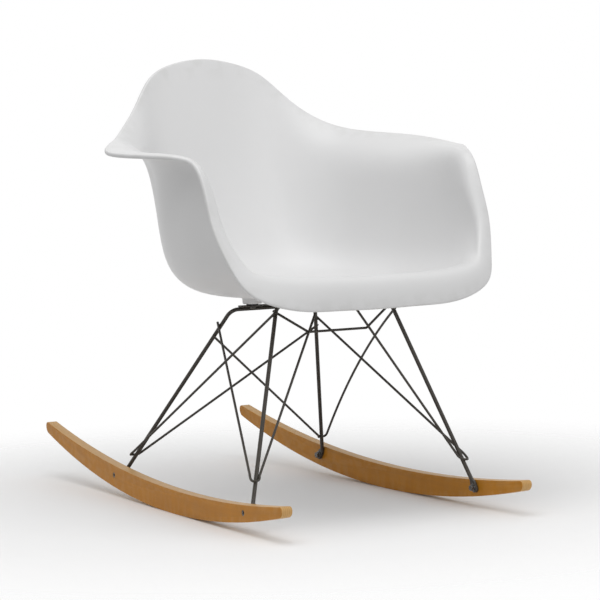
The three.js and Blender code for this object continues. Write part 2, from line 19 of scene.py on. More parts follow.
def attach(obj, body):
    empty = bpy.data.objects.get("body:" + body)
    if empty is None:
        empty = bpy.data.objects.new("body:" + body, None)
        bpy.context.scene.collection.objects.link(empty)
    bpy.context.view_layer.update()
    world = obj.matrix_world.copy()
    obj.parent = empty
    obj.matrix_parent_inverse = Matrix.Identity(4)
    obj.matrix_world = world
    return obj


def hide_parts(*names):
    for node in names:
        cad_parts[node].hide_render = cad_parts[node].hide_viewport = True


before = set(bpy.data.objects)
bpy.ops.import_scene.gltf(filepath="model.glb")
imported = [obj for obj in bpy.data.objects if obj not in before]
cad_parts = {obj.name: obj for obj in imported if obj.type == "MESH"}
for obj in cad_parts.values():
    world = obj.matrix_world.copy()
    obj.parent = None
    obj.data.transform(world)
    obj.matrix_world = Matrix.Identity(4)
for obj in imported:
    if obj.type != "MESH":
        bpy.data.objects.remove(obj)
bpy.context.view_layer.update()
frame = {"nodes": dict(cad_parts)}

log = logging.getLogger("rocking_chair")

MM = 0.001
GAP = 0.3 * MM  # clearance between neighbouring pieces
ROD_R = 3.25 * MM  # frame rods
WIRE_R = 2.0 * MM  # brace wires
BOLT_HOLE_R = 3.4 * MM  # holes for the foot bolts
SCREW_HOLE_R = 2.9 * MM  # holes for the mount screws
BODY = "root"


class Side(Enum):
    """Which side of the sitter a piece is on; the value is the sign of its X."""

    RIGHT = -1
    LEFT = 1


class End(Enum):
    """Which end of the chair a frame, foot or mount is at."""

    REAR = "rear"
    FRONT = "front"


class Slot(Enum):
    """The record's material slots."""

    SHELL = "shell"
    ROD = "rod"
    WOOD = "wood"
    RUBBER = "rubber"
    FASTENER = "fastener"
    BRASS = "brass"


# ---------- shader groups ----------


class Graph:
    """A shader node tree with short calls for adding and linking nodes."""

    def __init__(self, tree: bpy.types.NodeTree) -> None:
        """Wrap a node tree.

        Args:
            tree: the tree that nodes are added to.
        """
        self.tree = tree

    def add(self, kind: str, settings: dict | None = None, **links: object) -> bpy.types.Node:
        """Add a node.

        Args:
            kind: the node's type name.
            settings: properties of the node itself.
            links: input name, with spaces as underscores, to a socket or a plain value.

        Returns:
            The new node.
        """
        node = self.tree.nodes.new(kind)
        for key, value in (settings or {}).items():
            setattr(node, key, value)
        for key, value in links.items():
            self.feed(self.socket(node, key), value)
        return node

    @staticmethod
    def socket(node: bpy.types.Node, key: str) -> bpy.types.NodeSocket:
        """Find an enabled input by its name, or by its number when the key is like in_1."""
        if key.startswith("in_"):
            return node.inputs[int(key[3:])]
        name = key.replace("_", " ").lower()
        return next(s for s in node.inputs if s.name.lower() == name and s.enabled)

    def feed(self, socket: bpy.types.NodeSocket, value: object) -> None:
        """Link a socket to an output, or set its value."""
        if isinstance(value, bpy.types.NodeSocket):
            self.tree.links.new(value, socket)
        else:
            socket.default_value = value

    def math(self, operation: str, a: object, b: object = 0.0, clamp: bool = False) -> bpy.types.NodeSocket:
        """Add a math node and return its output."""
        settings = {"operation": operation, "use_clamp": clamp}
        return self.add("ShaderNodeMath", settings, in_0=a, in_1=b).outputs[0]

    def noise(self, vector: object, scale: object, detail: float = 3.0) -> bpy.types.NodeSocket:
        """Add a noise texture and return its value."""
        node = self.add("ShaderNodeTexNoise", Vector=vector, Scale=scale, Detail=detail)
        return node.outputs["Fac"]

    def ramp(self, value: object, low: float, high: float) -> bpy.types.NodeSocket:
        """Map a value from low..high to 0..1, smoothly and clamped."""
        settings = {"interpolation_type": "SMOOTHSTEP"}
        node = self.add("ShaderNodeMapRange", settings, Value=value, From_Min=low, From_Max=high)
        return node.outputs["Result"]

    def mix(self, factor: object, a: object, b: object, blend: str = "MIX") -> bpy.types.NodeSocket:
        """Mix two colours and return the result."""
        node = self.add("ShaderNodeMix", {"data_type": "RGBA", "blend_type": blend})
        for socket, value in ((node.inputs[0], factor), (node.inputs[6], a), (node.inputs[7], b)):
            self.feed(socket, value)
        return node.outputs[2]

    def stretch(self, vector: object, scale: tuple[float, float, float]) -> bpy.types.NodeSocket:
        """Scale a vector by different amounts along its axes."""
        return self.add("ShaderNodeMapping", Vector=vector, Scale=scale).outputs[0]


def shader_group(name: str, inputs: dict[str, object], outputs: dict[str, str]) -> tuple[Graph, dict, dict]:
    """Start a shader node group.

    Args:
        name: the group's name.
        inputs: input name to default value; a None default makes a vector input.
        outputs: output name to socket type.

    Returns:
        The graph, the sockets that carry the inputs in, and the sockets that carry the outputs out.
    """
    tree = bpy.data.node_groups.new(name, "ShaderNodeTree")
    for key, value in inputs.items():
        kind = {None: "NodeSocketVector"}.get(value) or (
            "NodeSocketColor" if isinstance(value, tuple) else "NodeSocketFloat"
        )
        item = tree.interface.new_socket(key, in_out="INPUT", socket_type=kind)
        if value is not None:
            item.default_value = value
    for key, kind in outputs.items():
        tree.interface.new_socket(key, in_out="OUTPUT", socket_type=kind)
    source = tree.nodes.new("NodeGroupInput")
    sink = tree.nodes.new("NodeGroupOutput")
    taken = {key: source.outputs[key] for key in inputs}
    given = {key: sink.inputs[key] for key in outputs}
    return Graph(tree), taken, given


class Effects:
    """The shader groups that several finishes share, each built once."""

    def __init__(self) -> None:
        """Build every group."""
        self.mottle = self._mottle()
        self.pebble = self._pebble()
        self.rub = self._rub()
        self.dust = self._dust()
        self.grain = self._grain()

    @staticmethod
    def _mottle() -> bpy.types.NodeTree:
        """Slow change of shade across a surface."""
        graph, taken, given = shader_group(
            "mottle",
            {"Vector": None, "Color": (0.5, 0.5, 0.5, 1.0), "Scale": 8.0, "Amount": 0.1},
            {"Color": "NodeSocketColor", "Fac": "NodeSocketFloat"},
        )
        broad = graph.noise(taken["Vector"], taken["Scale"], 2.0)
        fine_scale = graph.math("MULTIPLY", taken["Scale"], 5.3)
        fine = graph.noise(taken["Vector"], fine_scale, 4.0)
        both = graph.math("ADD", graph.math("MULTIPLY", broad, 0.7), graph.math("MULTIPLY", fine, 0.3))
        centred = graph.math("SUBTRACT", both, 0.5)
        gain = graph.math("ADD", graph.math("MULTIPLY", centred, taken["Amount"]), 1.0)
        shade = graph.add("ShaderNodeCombineColor", Red=gain, Green=gain, Blue=gain)
        graph.feed(given["Color"], graph.mix(1.0, taken["Color"], shade.outputs[0], "MULTIPLY"))
        graph.feed(given["Fac"], both)
        return graph.tree

    @staticmethod
    def _pebble() -> bpy.types.NodeTree:
        """Height of a fine moulded or sprayed surface: soft orange peel with a finer tooth on it."""
        graph, taken, given = shader_group(
            "pebble",
            {"Vector": None, "Peel Scale": 120.0, "Tooth Scale": 1400.0, "Tooth": 0.4},
            {"Height": "NodeSocketFloat"},
        )
        peel = graph.noise(taken["Vector"], taken["Peel Scale"], 2.0)
        tooth = graph.noise(taken["Vector"], taken["Tooth Scale"], 2.0)
        height = graph.math("ADD", peel, graph.math("MULTIPLY", tooth, taken["Tooth"]))
        graph.feed(given["Height"], height)
        return graph.tree

    @staticmethod
    def _rub() -> bpy.types.NodeTree:
        """Mask of worn places: where the edge attribute is high, broken up by noise."""
        graph, taken, given = shader_group(
            "rub",
            {"Vector": None, "Edge": 0.0, "Scale": 60.0, "Amount": 0.5},
            {"Mask": "NodeSocketFloat"},
        )
        patch = graph.ramp(graph.noise(taken["Vector"], taken["Scale"], 5.0), 0.42, 0.62)
        rubbed = graph.math("MULTIPLY", patch, taken["Edge"])
        mask = graph.math("MULTIPLY", rubbed, taken["Amount"], clamp=True)
        graph.feed(given["Mask"], mask)
        return graph.tree

    @staticmethod
    def _dust() -> bpy.types.NodeTree:
        """Mask of fine dust lying on faces that look up."""
        graph, taken, given = shader_group(
            "dust",
            {"Vector": None, "Scale": 40.0, "Amount": 0.3},
            {"Mask": "NodeSocketFloat"},
        )
        geometry = graph.add("ShaderNodeNewGeometry")
        up = graph.add("ShaderNodeSeparateXYZ", Vector=geometry.outputs["Normal"]).outputs["Z"]
        level = graph.ramp(up, 0.55, 1.0)
        patch = graph.ramp(graph.noise(taken["Vector"], taken["Scale"], 4.0), 0.3, 0.75)
        mask = graph.math("MULTIPLY", graph.math("MULTIPLY", level, patch), taken["Amount"], clamp=True)
        graph.feed(given["Mask"], mask)
        return graph.tree

    @staticmethod
    def _grain() -> bpy.types.NodeTree:
        """Maple figure along a board: X of the vector runs along the grain, Y across it, Z through it."""
        graph, taken, given = shader_group(
            "grain",
            {"Vector": None, "Streaks": 0.6, "Figure": 0.4, "Pores": 0.3},
            {"Fac": "NodeSocketFloat", "Height": "NodeSocketFloat"},
        )
        vector = taken["Vector"]
        wander_pitch = (3.0, 14.0, 14.0)  # spots per metre along, across and through the board
        ring_pitch = (5.0, 210.0, 90.0)
        curl_pitch = (34.0, 9.0, 9.0)
        pore_pitch = (130.0, 1900.0, 1900.0)
        wander_by = 12.0 * MM
        wander = graph.add(
            "ShaderNodeTexNoise", Vector=graph.stretch(vector, wander_pitch), Scale=1.0, Detail=2.0
        ).outputs["Color"]
        drift = graph.add("ShaderNodeVectorMath", {"operation": "SCALE"}, in_0=wander, in_3=wander_by)
        moved = graph.add("ShaderNodeVectorMath", {"operation": "ADD"}, in_0=vector, in_1=drift.outputs[0])
        warped = moved.outputs[0]
        rings = graph.noise(graph.stretch(warped, ring_pitch), 1.0, 4.0)
        curl = graph.noise(graph.stretch(warped, curl_pitch), 1.0, 2.0)
        pores = graph.noise(graph.stretch(warped, pore_pitch), 1.0, 2.0)
        streak = graph.math("MULTIPLY", graph.math("SUBTRACT", rings, 0.5), taken["Streaks"])
        figure = graph.math("MULTIPLY", graph.math("SUBTRACT", curl, 0.5), taken["Figure"])
        speck = graph.math("MULTIPLY", graph.ramp(pores, 0.6, 0.72), taken["Pores"])
        tone = graph.math("ADD", graph.math("ADD", streak, figure), 0.5)
        graph.feed(given["Fac"], graph.math("SUBTRACT", tone, speck, clamp=True))
        graph.feed(given["Height"], graph.math("SUBTRACT", graph.math("MULTIPLY", rings, 0.4), speck))
        return graph.tree


# ---------- finishes ----------


@dataclass(frozen=True)
class Finish:
    """What every finish holds: its colour and gloss."""

    name: str
    color: tuple[float, float, float]
    roughness: float

    def start(self) -> tuple[bpy.types.Material, Graph, bpy.types.Node, bpy.types.NodeSocket]:
        """Make an empty material with one Principled shader.

        Returns:
            The material, its graph, the shader and the object coordinates.
        """
        material = bpy.data.materials.new(self.name)
        material.use_nodes = True
        material.diffuse_color = (*self.color, 1.0)
        graph = Graph(material.node_tree)
        shader = next(n for n in graph.tree.nodes if n.type == "BSDF_PRINCIPLED")
        place = graph.add("ShaderNodeTexCoord").outputs["Object"]
        return material, graph, shader, place

    @property
    def rgba(self) -> tuple[float, float, float, float]:
        """The colour with full alpha."""
        return (*self.color, 1.0)

    def group(self, graph: Graph, tree: bpy.types.NodeTree, **links: object) -> bpy.types.Node:
        """Place a shared effect in the material."""
        return graph.add("ShaderNodeGroup", {"node_tree": tree}, **links)

    def bump(
        self, graph: Graph, shader: bpy.types.Node, height: object, depth: float, strength: float
    ) -> None:
        """Feed a height to the shader's normal.

        Args:
            graph: the material's graph.
            shader: its Principled shader.
            height: the socket with the height.
            depth: how deep a height of one is, in metres.
            strength: share of the bump that shows.
        """
        node = graph.add("ShaderNodeBump", Height=height, Distance=depth, Strength=strength)
        graph.feed(shader.inputs["Normal"], node.outputs["Normal"])

    def vary_gloss(self, graph: Graph, shader: bpy.types.Node, value: object, spread: float) -> None:
        """Let the roughness follow a 0..1 value round the finish's own roughness."""
        change = graph.math("MULTIPLY", graph.math("SUBTRACT", value, 0.5), spread)
        graph.feed(shader.inputs["Roughness"], graph.math("ADD", change, self.roughness, clamp=True))


def edge_value(graph: Graph) -> bpy.types.NodeSocket:
    """The edge attribute that meshes carry where hands and feet rub them."""
    return graph.add("ShaderNodeAttribute", {"attribute_name": "edge"}).outputs["Fac"]


@dataclass(frozen=True)
class MouldedPlastic(Finish):
    """Satin through-coloured plastic with a fine moulded tooth and a burnished rim."""

    burnish: tuple[float, float, float] = (0.62, 0.62, 0.61)
    dust_tone: tuple[float, float, float] = (0.60, 0.58, 0.54)
    tooth_deep: float = 0.12 * MM
    scatter: float = 4.0 * MM

    def make(self, effects: Effects) -> bpy.types.Material:
        """Build the material."""
        material, graph, shader, place = self.start()
        tone = self.group(graph, effects.mottle, Vector=place, Color=self.rgba, Scale=5.0, Amount=0.05)
        edge = edge_value(graph)
        rubbing = self.group(graph, effects.rub, Vector=place, Edge=edge, Scale=45.0, Amount=0.35)
        worn = rubbing.outputs["Mask"]
        dust = self.group(graph, effects.dust, Vector=place, Scale=25.0, Amount=0.05).outputs["Mask"]
        rubbed = graph.mix(worn, tone.outputs["Color"], (*self.burnish, 1.0))
        graph.feed(shader.inputs["Base Color"], graph.mix(dust, rubbed, (*self.dust_tone, 1.0)))
        gloss = graph.math("SUBTRACT", tone.outputs["Fac"], graph.math("MULTIPLY", worn, 0.5))
        self.vary_gloss(graph, shader, gloss, 0.16)
        scales = {"Peel_Scale": 90.0, "Tooth_Scale": 1500.0}
        tooth = self.group(graph, effects.pebble, Vector=place, Tooth=0.35, **scales)
        self.bump(graph, shader, tooth.outputs["Height"], self.tooth_deep, 0.35)
        shader.inputs["Subsurface Weight"].default_value = 0.04
        shader.inputs["Subsurface Radius"].default_value = (self.scatter,) * 3
        shader.inputs["IOR"].default_value = 1.49
        return material


@dataclass(frozen=True)
class SatinPaint(Finish):
    """Satin baked paint on steel rod, with dust on top and a little wear at the feet."""

    bare: tuple[float, float, float] = (0.14, 0.13, 0.12)
    dust_tone: tuple[float, float, float] = (0.30, 0.27, 0.23)
    peel_deep: float = 0.08 * MM

    def make(self, effects: Effects) -> bpy.types.Material:
        """Build the material."""
        material, graph, shader, place = self.start()
        tone = self.group(graph, effects.mottle, Vector=place, Color=self.rgba, Scale=30.0, Amount=0.5)
        worn = self.group(graph, effects.rub, Vector=place, Edge=edge_value(graph), Scale=320.0, Amount=0.7)
        dust = self.group(graph, effects.dust, Vector=place, Scale=160.0, Amount=0.10).outputs["Mask"]
        rubbed = graph.mix(worn.outputs["Mask"], tone.outputs["Color"], (*self.bare, 1.0))
        graph.feed(shader.inputs["Base Color"], graph.mix(dust, rubbed, (*self.dust_tone, 1.0)))
        self.vary_gloss(graph, shader, tone.outputs["Fac"], 0.3)
        scales = {"Peel_Scale": 700.0, "Tooth_Scale": 3200.0}
        peel = self.group(graph, effects.pebble, Vector=place, Tooth=0.3, **scales)
        self.bump(graph, shader, peel.outputs["Height"], self.peel_deep, 0.5)
        return material


@dataclass(frozen=True)
class VarnishedMaple(Finish):
    """Honey maple board under clear varnish, with thin plies showing on its narrow edges; their pale tone is
    partly the plies' own and partly painted highlight.
    """

    dark: tuple[float, float, float] = (0.37, 0.148, 0.011)
    ply: float = 1.54 * MM
    # Ply colours of the narrow edges: partly the plies' own paler tone, partly a painted highlight for the
    # overhead light on the top edge. It is painted on the bottom edge too.
    pale_ply_and_highlight: tuple[float, float, float] = (0.60, 0.37, 0.15)
    warm_ply_and_highlight: tuple[float, float, float] = (0.52, 0.29, 0.095)
    glue_line: tuple[float, float, float] = (0.40, 0.21, 0.07)
    worn_wood: tuple[float, float, float] = (0.62, 0.42, 0.20)
    grain_deep: float = 0.06 * MM

    def make(self, effects: Effects) -> bpy.types.Material:
        """Build the material."""
        material, graph, shader, _ = self.start()
        along = graph.add("ShaderNodeAttribute", {"attribute_name": "along"}).outputs["Vector"]
        grain = self.group(graph, effects.grain, Vector=along, Streaks=0.85, Figure=0.55, Pores=0.22)
        face = graph.mix(grain.outputs["Fac"], (*self.dark, 1.0), self.rgba)
        through = graph.add("ShaderNodeSeparateXYZ", Vector=along).outputs["Z"]
        turn = graph.math("MULTIPLY", through, math.pi / self.ply)
        layer = graph.ramp(graph.math("SINE", turn), -0.25, 0.25)
        glue = graph.ramp(graph.math("ABSOLUTE", graph.math("SINE", turn)), 0.0, 0.22)
        end_tone = graph.mix(layer, (*self.pale_ply_and_highlight, 1.0), (*self.warm_ply_and_highlight, 1.0))
        plies = graph.mix(glue, (*self.glue_line, 1.0), end_tone)
        toned = self.group(graph, effects.mottle, Vector=along, Color=plies, Scale=160.0, Amount=0.35)
        geometry = graph.add("ShaderNodeNewGeometry")
        sideways = graph.add("ShaderNodeSeparateXYZ", Vector=geometry.outputs["Normal"]).outputs["X"]
        # Narrow faces, top and bottom, take the ply colours with their painted highlight; broad faces take
        # the grain.
        narrow = graph.ramp(graph.math("ABSOLUTE", sideways), 0.8, 0.45)
        color = graph.mix(narrow, face, toned.outputs["Color"])
        worn = self.group(graph, effects.rub, Vector=along, Edge=edge_value(graph), Scale=70.0, Amount=0.35)
        final = graph.mix(worn.outputs["Mask"], color, (*self.worn_wood, 1.0))
        graph.feed(shader.inputs["Base Color"], final)
        self.vary_gloss(graph, shader, grain.outputs["Fac"], 0.14)
        self.bump(graph, shader, grain.outputs["Height"], self.grain_deep, 0.45)
        shader.inputs["Coat Weight"].default_value = 0.08
        shader.inputs["Specular IOR Level"].default_value = 0.15
        shader.inputs["Coat Roughness"].default_value = 0.18
        return material


@dataclass(frozen=True)
class TurnedMetal(Finish):
    """Machined metal, blackened or bare, brighter where it is rubbed."""

    bright: tuple[float, float, float] = (0.35, 0.34, 0.33)
    mark_deep: float = 0.04 * MM

    def make(self, effects: Effects) -> bpy.types.Material:
        """Build the material."""
        material, graph, shader, place = self.start()
        tone = self.group(graph, effects.mottle, Vector=place, Color=self.rgba, Scale=220.0, Amount=0.5)
        worn = self.group(graph, effects.rub, Vector=place, Edge=edge_value(graph), Scale=700.0, Amount=0.8)
        color = graph.mix(worn.outputs["Mask"], tone.outputs["Color"], (*self.bright, 1.0))
        graph.feed(shader.inputs["Base Color"], color)
        self.vary_gloss(graph, shader, tone.outputs["Fac"], 0.3)
        scales = {"Peel_Scale": 1500.0, "Tooth_Scale": 5200.0}
        marks = self.group(graph, effects.pebble, Vector=place, Tooth=0.6, **scales)
        self.bump(graph, shader, marks.outputs["Height"], self.mark_deep, 0.5)
        shader.inputs["Metallic"].default_value = 0.85
        return material


@dataclass(frozen=True)
class MouldedRubber(Finish):
    """Matte black rubber with a chalky bloom."""

    bloom: tuple[float, float, float] = (0.09, 0.09, 0.09)
    skin_deep: float = 0.1 * MM

    def make(self, effects: Effects) -> bpy.types.Material:
        """Build the material."""
        material, graph, shader, place = self.start()
        tone = self.group(graph, effects.mottle, Vector=place, Color=self.rgba, Scale=180.0, Amount=0.6)
        bloom = graph.ramp(tone.outputs["Fac"], 0.5, 0.8)
        color = graph.mix(bloom, tone.outputs["Color"], (*self.bloom, 1.0))
        graph.feed(shader.inputs["Base Color"], color)
        self.vary_gloss(graph, shader, tone.outputs["Fac"], 0.15)
        scales = {"Peel_Scale": 900.0, "Tooth_Scale": 4000.0}
        skin = self.group(graph, effects.pebble, Vector=place, Tooth=0.8, **scales)
        self.bump(graph, shader, skin.outputs["Height"], self.skin_deep, 0.6)
        return material


class Finishes:
    """Every material of the chair, by record slot."""

    def __init__(self) -> None:
        """Build the shared effects and then the materials."""
        effects = Effects()
        makers = {
            Slot.SHELL: MouldedPlastic("moulded_plastic", (0.72, 0.72, 0.722), 0.40),
            Slot.ROD: SatinPaint("satin_paint", (0.026, 0.020, 0.013), 0.46),
            Slot.WOOD: VarnishedMaple("varnished_maple", (0.57, 0.235, 0.017), 0.46),
            Slot.RUBBER: MouldedRubber("moulded_rubber", (0.018, 0.018, 0.018), 0.82),
            Slot.FASTENER: TurnedMetal("black_oxide_steel", (0.045, 0.043, 0.040), 0.38),
            Slot.BRASS: TurnedMetal("turned_brass", (0.55, 0.38, 0.15), 0.30, (0.80, 0.62, 0.32)),
        }
        self.materials = {slot: maker.make(effects) for slot, maker in makers.items()}

    def __getitem__(self, slot: Slot) -> bpy.types.Material:
        """The material of a slot."""
        return self.materials[slot]


# ---------- meshes ----------


def mesh_object(name: str, vertices: Iterable, faces: Iterable) -> bpy.types.Object:
    """Make an object from points and faces and link it to the scene.

    Args:
        name: the object's name.
        vertices: points in metres.
        faces: tuples of point numbers.

    Returns:
        The new object, at the origin.
    """
    mesh = bpy.data.meshes.new(name)
    mesh.from_pydata([tuple(v) for v in vertices], [], [tuple(int(i) for i in f) for f in faces])
    mesh.validate()
    thing = bpy.data.objects.new(name, mesh)
    bpy.context.scene.collection.objects.link(thing)
    return thing


def discard(thing: bpy.types.Object) -> None:
    """Remove a helper object and its mesh."""
    mesh = thing.data
    bpy.data.objects.remove(thing)
    bpy.data.meshes.remove(mesh)


def bake(thing: bpy.types.Object) -> bpy.types.Object:
    """Turn an object's modifiers into plain mesh and remove them."""
    bpy.context.view_layer.update()
    graph = bpy.context.evaluated_depsgraph_get()
    mesh = bpy.data.meshes.new_from_object(
        thing.evaluated_get(graph), preserve_all_data_layers=True, depsgraph=graph
    )
    thing.modifiers.clear()
    old = thing.data
    thing.data = mesh
    bpy.data.meshes.remove(old)
    mesh.name = thing.name
    return thing


def shade(thing: bpy.types.Object, angle: float = 35.0, weighted: bool = True) -> bpy.types.Object:
    """Smooth an object's shading, with creases sharper than an angle in degrees kept."""
    mesh = thing.data
    mesh.polygons.foreach_set("use_smooth", [True] * len(mesh.polygons))
    mesh.set_sharp_from_angle(angle=math.radians(angle))
    if weighted:
        modifier = thing.modifiers.new("weighted", "WEIGHTED_NORMAL")
        modifier.keep_sharp = True
        bake(thing)
    return thing


def carve(
    thing: bpy.types.Object, cutters: Sequence[bpy.types.Object], join: bool = False
) -> bpy.types.Object:
    """Cut other objects out of one, or join them to it, and discard them."""
    for cutter in cutters:
        modifier = thing.modifiers.new("carve", "BOOLEAN")
        modifier.operation = "UNION" if join else "DIFFERENCE"
        modifier.solver = "EXACT"
        modifier.object = cutter
    bake(thing)
    for cutter in cutters:
        discard(cutter)
    return thing


def outward(thing: bpy.types.Object) -> bpy.types.Object:
    """Merge doubles and turn every face outwards."""
    work = bmesh.new()
    work.from_mesh(thing.data)
    bmesh.ops.remove_doubles(work, verts=work.verts, dist=1e-6)
    bmesh.ops.recalc_face_normals(work, faces=work.faces)
    work.to_mesh(thing.data)
    work.free()
    return thing


def set_attribute(thing: bpy.types.Object, name: str, values: np.ndarray) -> None:
    """Store a number or a vector for each point of an object's mesh.

    Args:
        thing: the object.
        name: the attribute's name.
        values: one row for each point, of one or three numbers.
    """
    vectors = values.ndim == 2
    attribute = thing.data.attributes.new(name, "FLOAT_VECTOR" if vectors else "FLOAT", "POINT")
    attribute.data.foreach_set("vector" if vectors else "value", values.astype(np.float32).ravel())


def points_of(thing: bpy.types.Object) -> np.ndarray:
    """Every point of an object's mesh as rows."""
    flat = np.zeros(len(thing.data.vertices) * 3, np.float32)
    thing.data.vertices.foreach_get("co", flat)
    return flat.reshape(-1, 3).astype(float)


def lathe(
    name: str,
    profile: Sequence[tuple[float, float]],
    sides: int = 48,
    flats: Sequence[bool] | None = None,
) -> bpy.types.Object:
    """Turn a profile about Z into a closed solid; rings marked as flats are hexagons.

    Args:
        name: the object's name.
        profile: radius and height of each ring; the first and last rings are filled unless they meet.
        sides: points in a ring.
        flats: for each ring, whether it is a hexagon whose corners lie on the radius.

    Returns:
        The new object.
    """
    rings = []
    for k, (radius, height) in enumerate(profile):
        hexagon = flats is not None and flats[k]
        for i in range(sides):
            angle = 2 * math.pi * i / sides
            across = math.cos(math.pi / 6) / math.cos((angle % (math.pi / 3)) - math.pi / 6)
            r = radius * (across if hexagon else 1.0)
            rings.append((r * math.cos(angle), r * math.sin(angle), height))
    faces = []
    count = len(profile)
    closed = profile[0] == profile[-1]
    for k in range(count - 1):
        nxt = (k + 1) % (count - 1) if closed else k + 1
        for i in range(sides):
            j = (i + 1) % sides
            faces.append((k * sides + i, k * sides + j, nxt * sides + j, nxt * sides + i))
    if closed:
        rings = rings[: (count - 1) * sides]
    else:
        faces.append(tuple(reversed(range(sides))))
        faces.append(tuple(range((count - 1) * sides, count * sides)))
    return outward(mesh_object(name, rings, faces))


def cylinder_x(radius: float, x0: float, x1: float, y: float, z: float, place: Matrix) -> bpy.types.Object:
    """A cutter along X in a turned frame."""
    middle = (x0 + x1) / 2
    half = abs(x1 - x0) / 2
    rod = lathe("cutter", [(radius, -half), (radius, half)])
    turn = Matrix.Rotation(math.pi / 2, 4, "Y")
    rod.data.transform(place @ Matrix.Translation((middle, y, z)) @ turn)
    return rod


def finish_piece(
    thing: bpy.types.Object, slot: Slot, finishes: Finishes, nodes: Sequence[str] = ()
) -> bpy.types.Object:
    """Dress a finished piece, put it on the body and say which nodes it stands for.

    Args:
        thing: the piece.
        slot: the record slot of its finish.
        finishes: every material.
        nodes: the nodes that it replaces.

    Returns:
        The piece.
    """
    thing.data.materials.clear()
    thing.data.materials.append(finishes[slot])
    for polygon in thing.data.polygons:
        polygon.material_index = 0
    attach(thing, BODY)
    if nodes:
        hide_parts(*nodes)
    stands_for = ", ".join(nodes) or "no node"
    log.info("%s: %d faces, stands for %s", thing.name, len(thing.data.polygons), stands_for)
    return thing


# ---------- paths ----------


def bend(corners: Sequence[Vector], radii: Sequence[float], steps: int = 12) -> list[Vector]:
    """Turn corner points into a line whose corners are arcs.

    Args:
        corners: the ends and the corners between them.
        radii: the bend radius at each inner corner.
        steps: straight steps in one bend.

    Returns:
        The points of the line.
    """
    points = [corners[0].copy()]
    for corner, before_at, after_at, radius in zip(corners[1:-1], corners, corners[2:], radii):
        before = (before_at - corner).normalized()
        after = (after_at - corner).normalized()
        half = before.angle(after) / 2
        start = corner + before * (radius / math.tan(half))
        end = corner + after * (radius / math.tan(half))
        centre = corner + (before + after).normalized() * (radius / math.sin(half))
        a, b = start - centre, end - centre
        sweep = a.angle(b)
        for k in range(steps + 1):
            t = k / steps
            wa = math.sin((1 - t) * sweep) / math.sin(sweep)
            wb = math.sin(t * sweep) / math.sin(sweep)
            points.append(centre + a * wa + b * wb)
    points.append(corners[-1].copy())
    return points


def soften(points: Sequence[Vector], passes: int = 3) -> list[Vector]:
    """Cut the corners of a line a few times, keeping its ends."""
    line = list(points)
    for _ in range(passes):
        cut = [line[0]]
        for a, b in zip(line, line[1:]):
            cut += [a.lerp(b, 0.25), a.lerp(b, 0.75)]
        line = cut + [line[-1]]
    return line


def resample(points: Sequence[Vector], step: float) -> list[Vector]:
    """Divide the long sides of a line so that no side is longer than a step."""
    line = [points[0]]
    for a, b in zip(points, points[1:]):
        count = max(1, math.ceil((b - a).length / step))
        line += [a.lerp(b, (k + 1) / count) for k in range(count)]
    return line


def square(direction: Vector, axis: Vector) -> Vector:
    """The unit part of a direction that is square to an axis."""
    return (direction - axis * direction.dot(axis)).normalized()


def smooth(value: float) -> float:
    """A 0..1 step with level ends."""
    t = min(max(value, 0.0), 1.0)
    return t * t * (3 - 2 * t)


# ---------- geometry node trees ----------


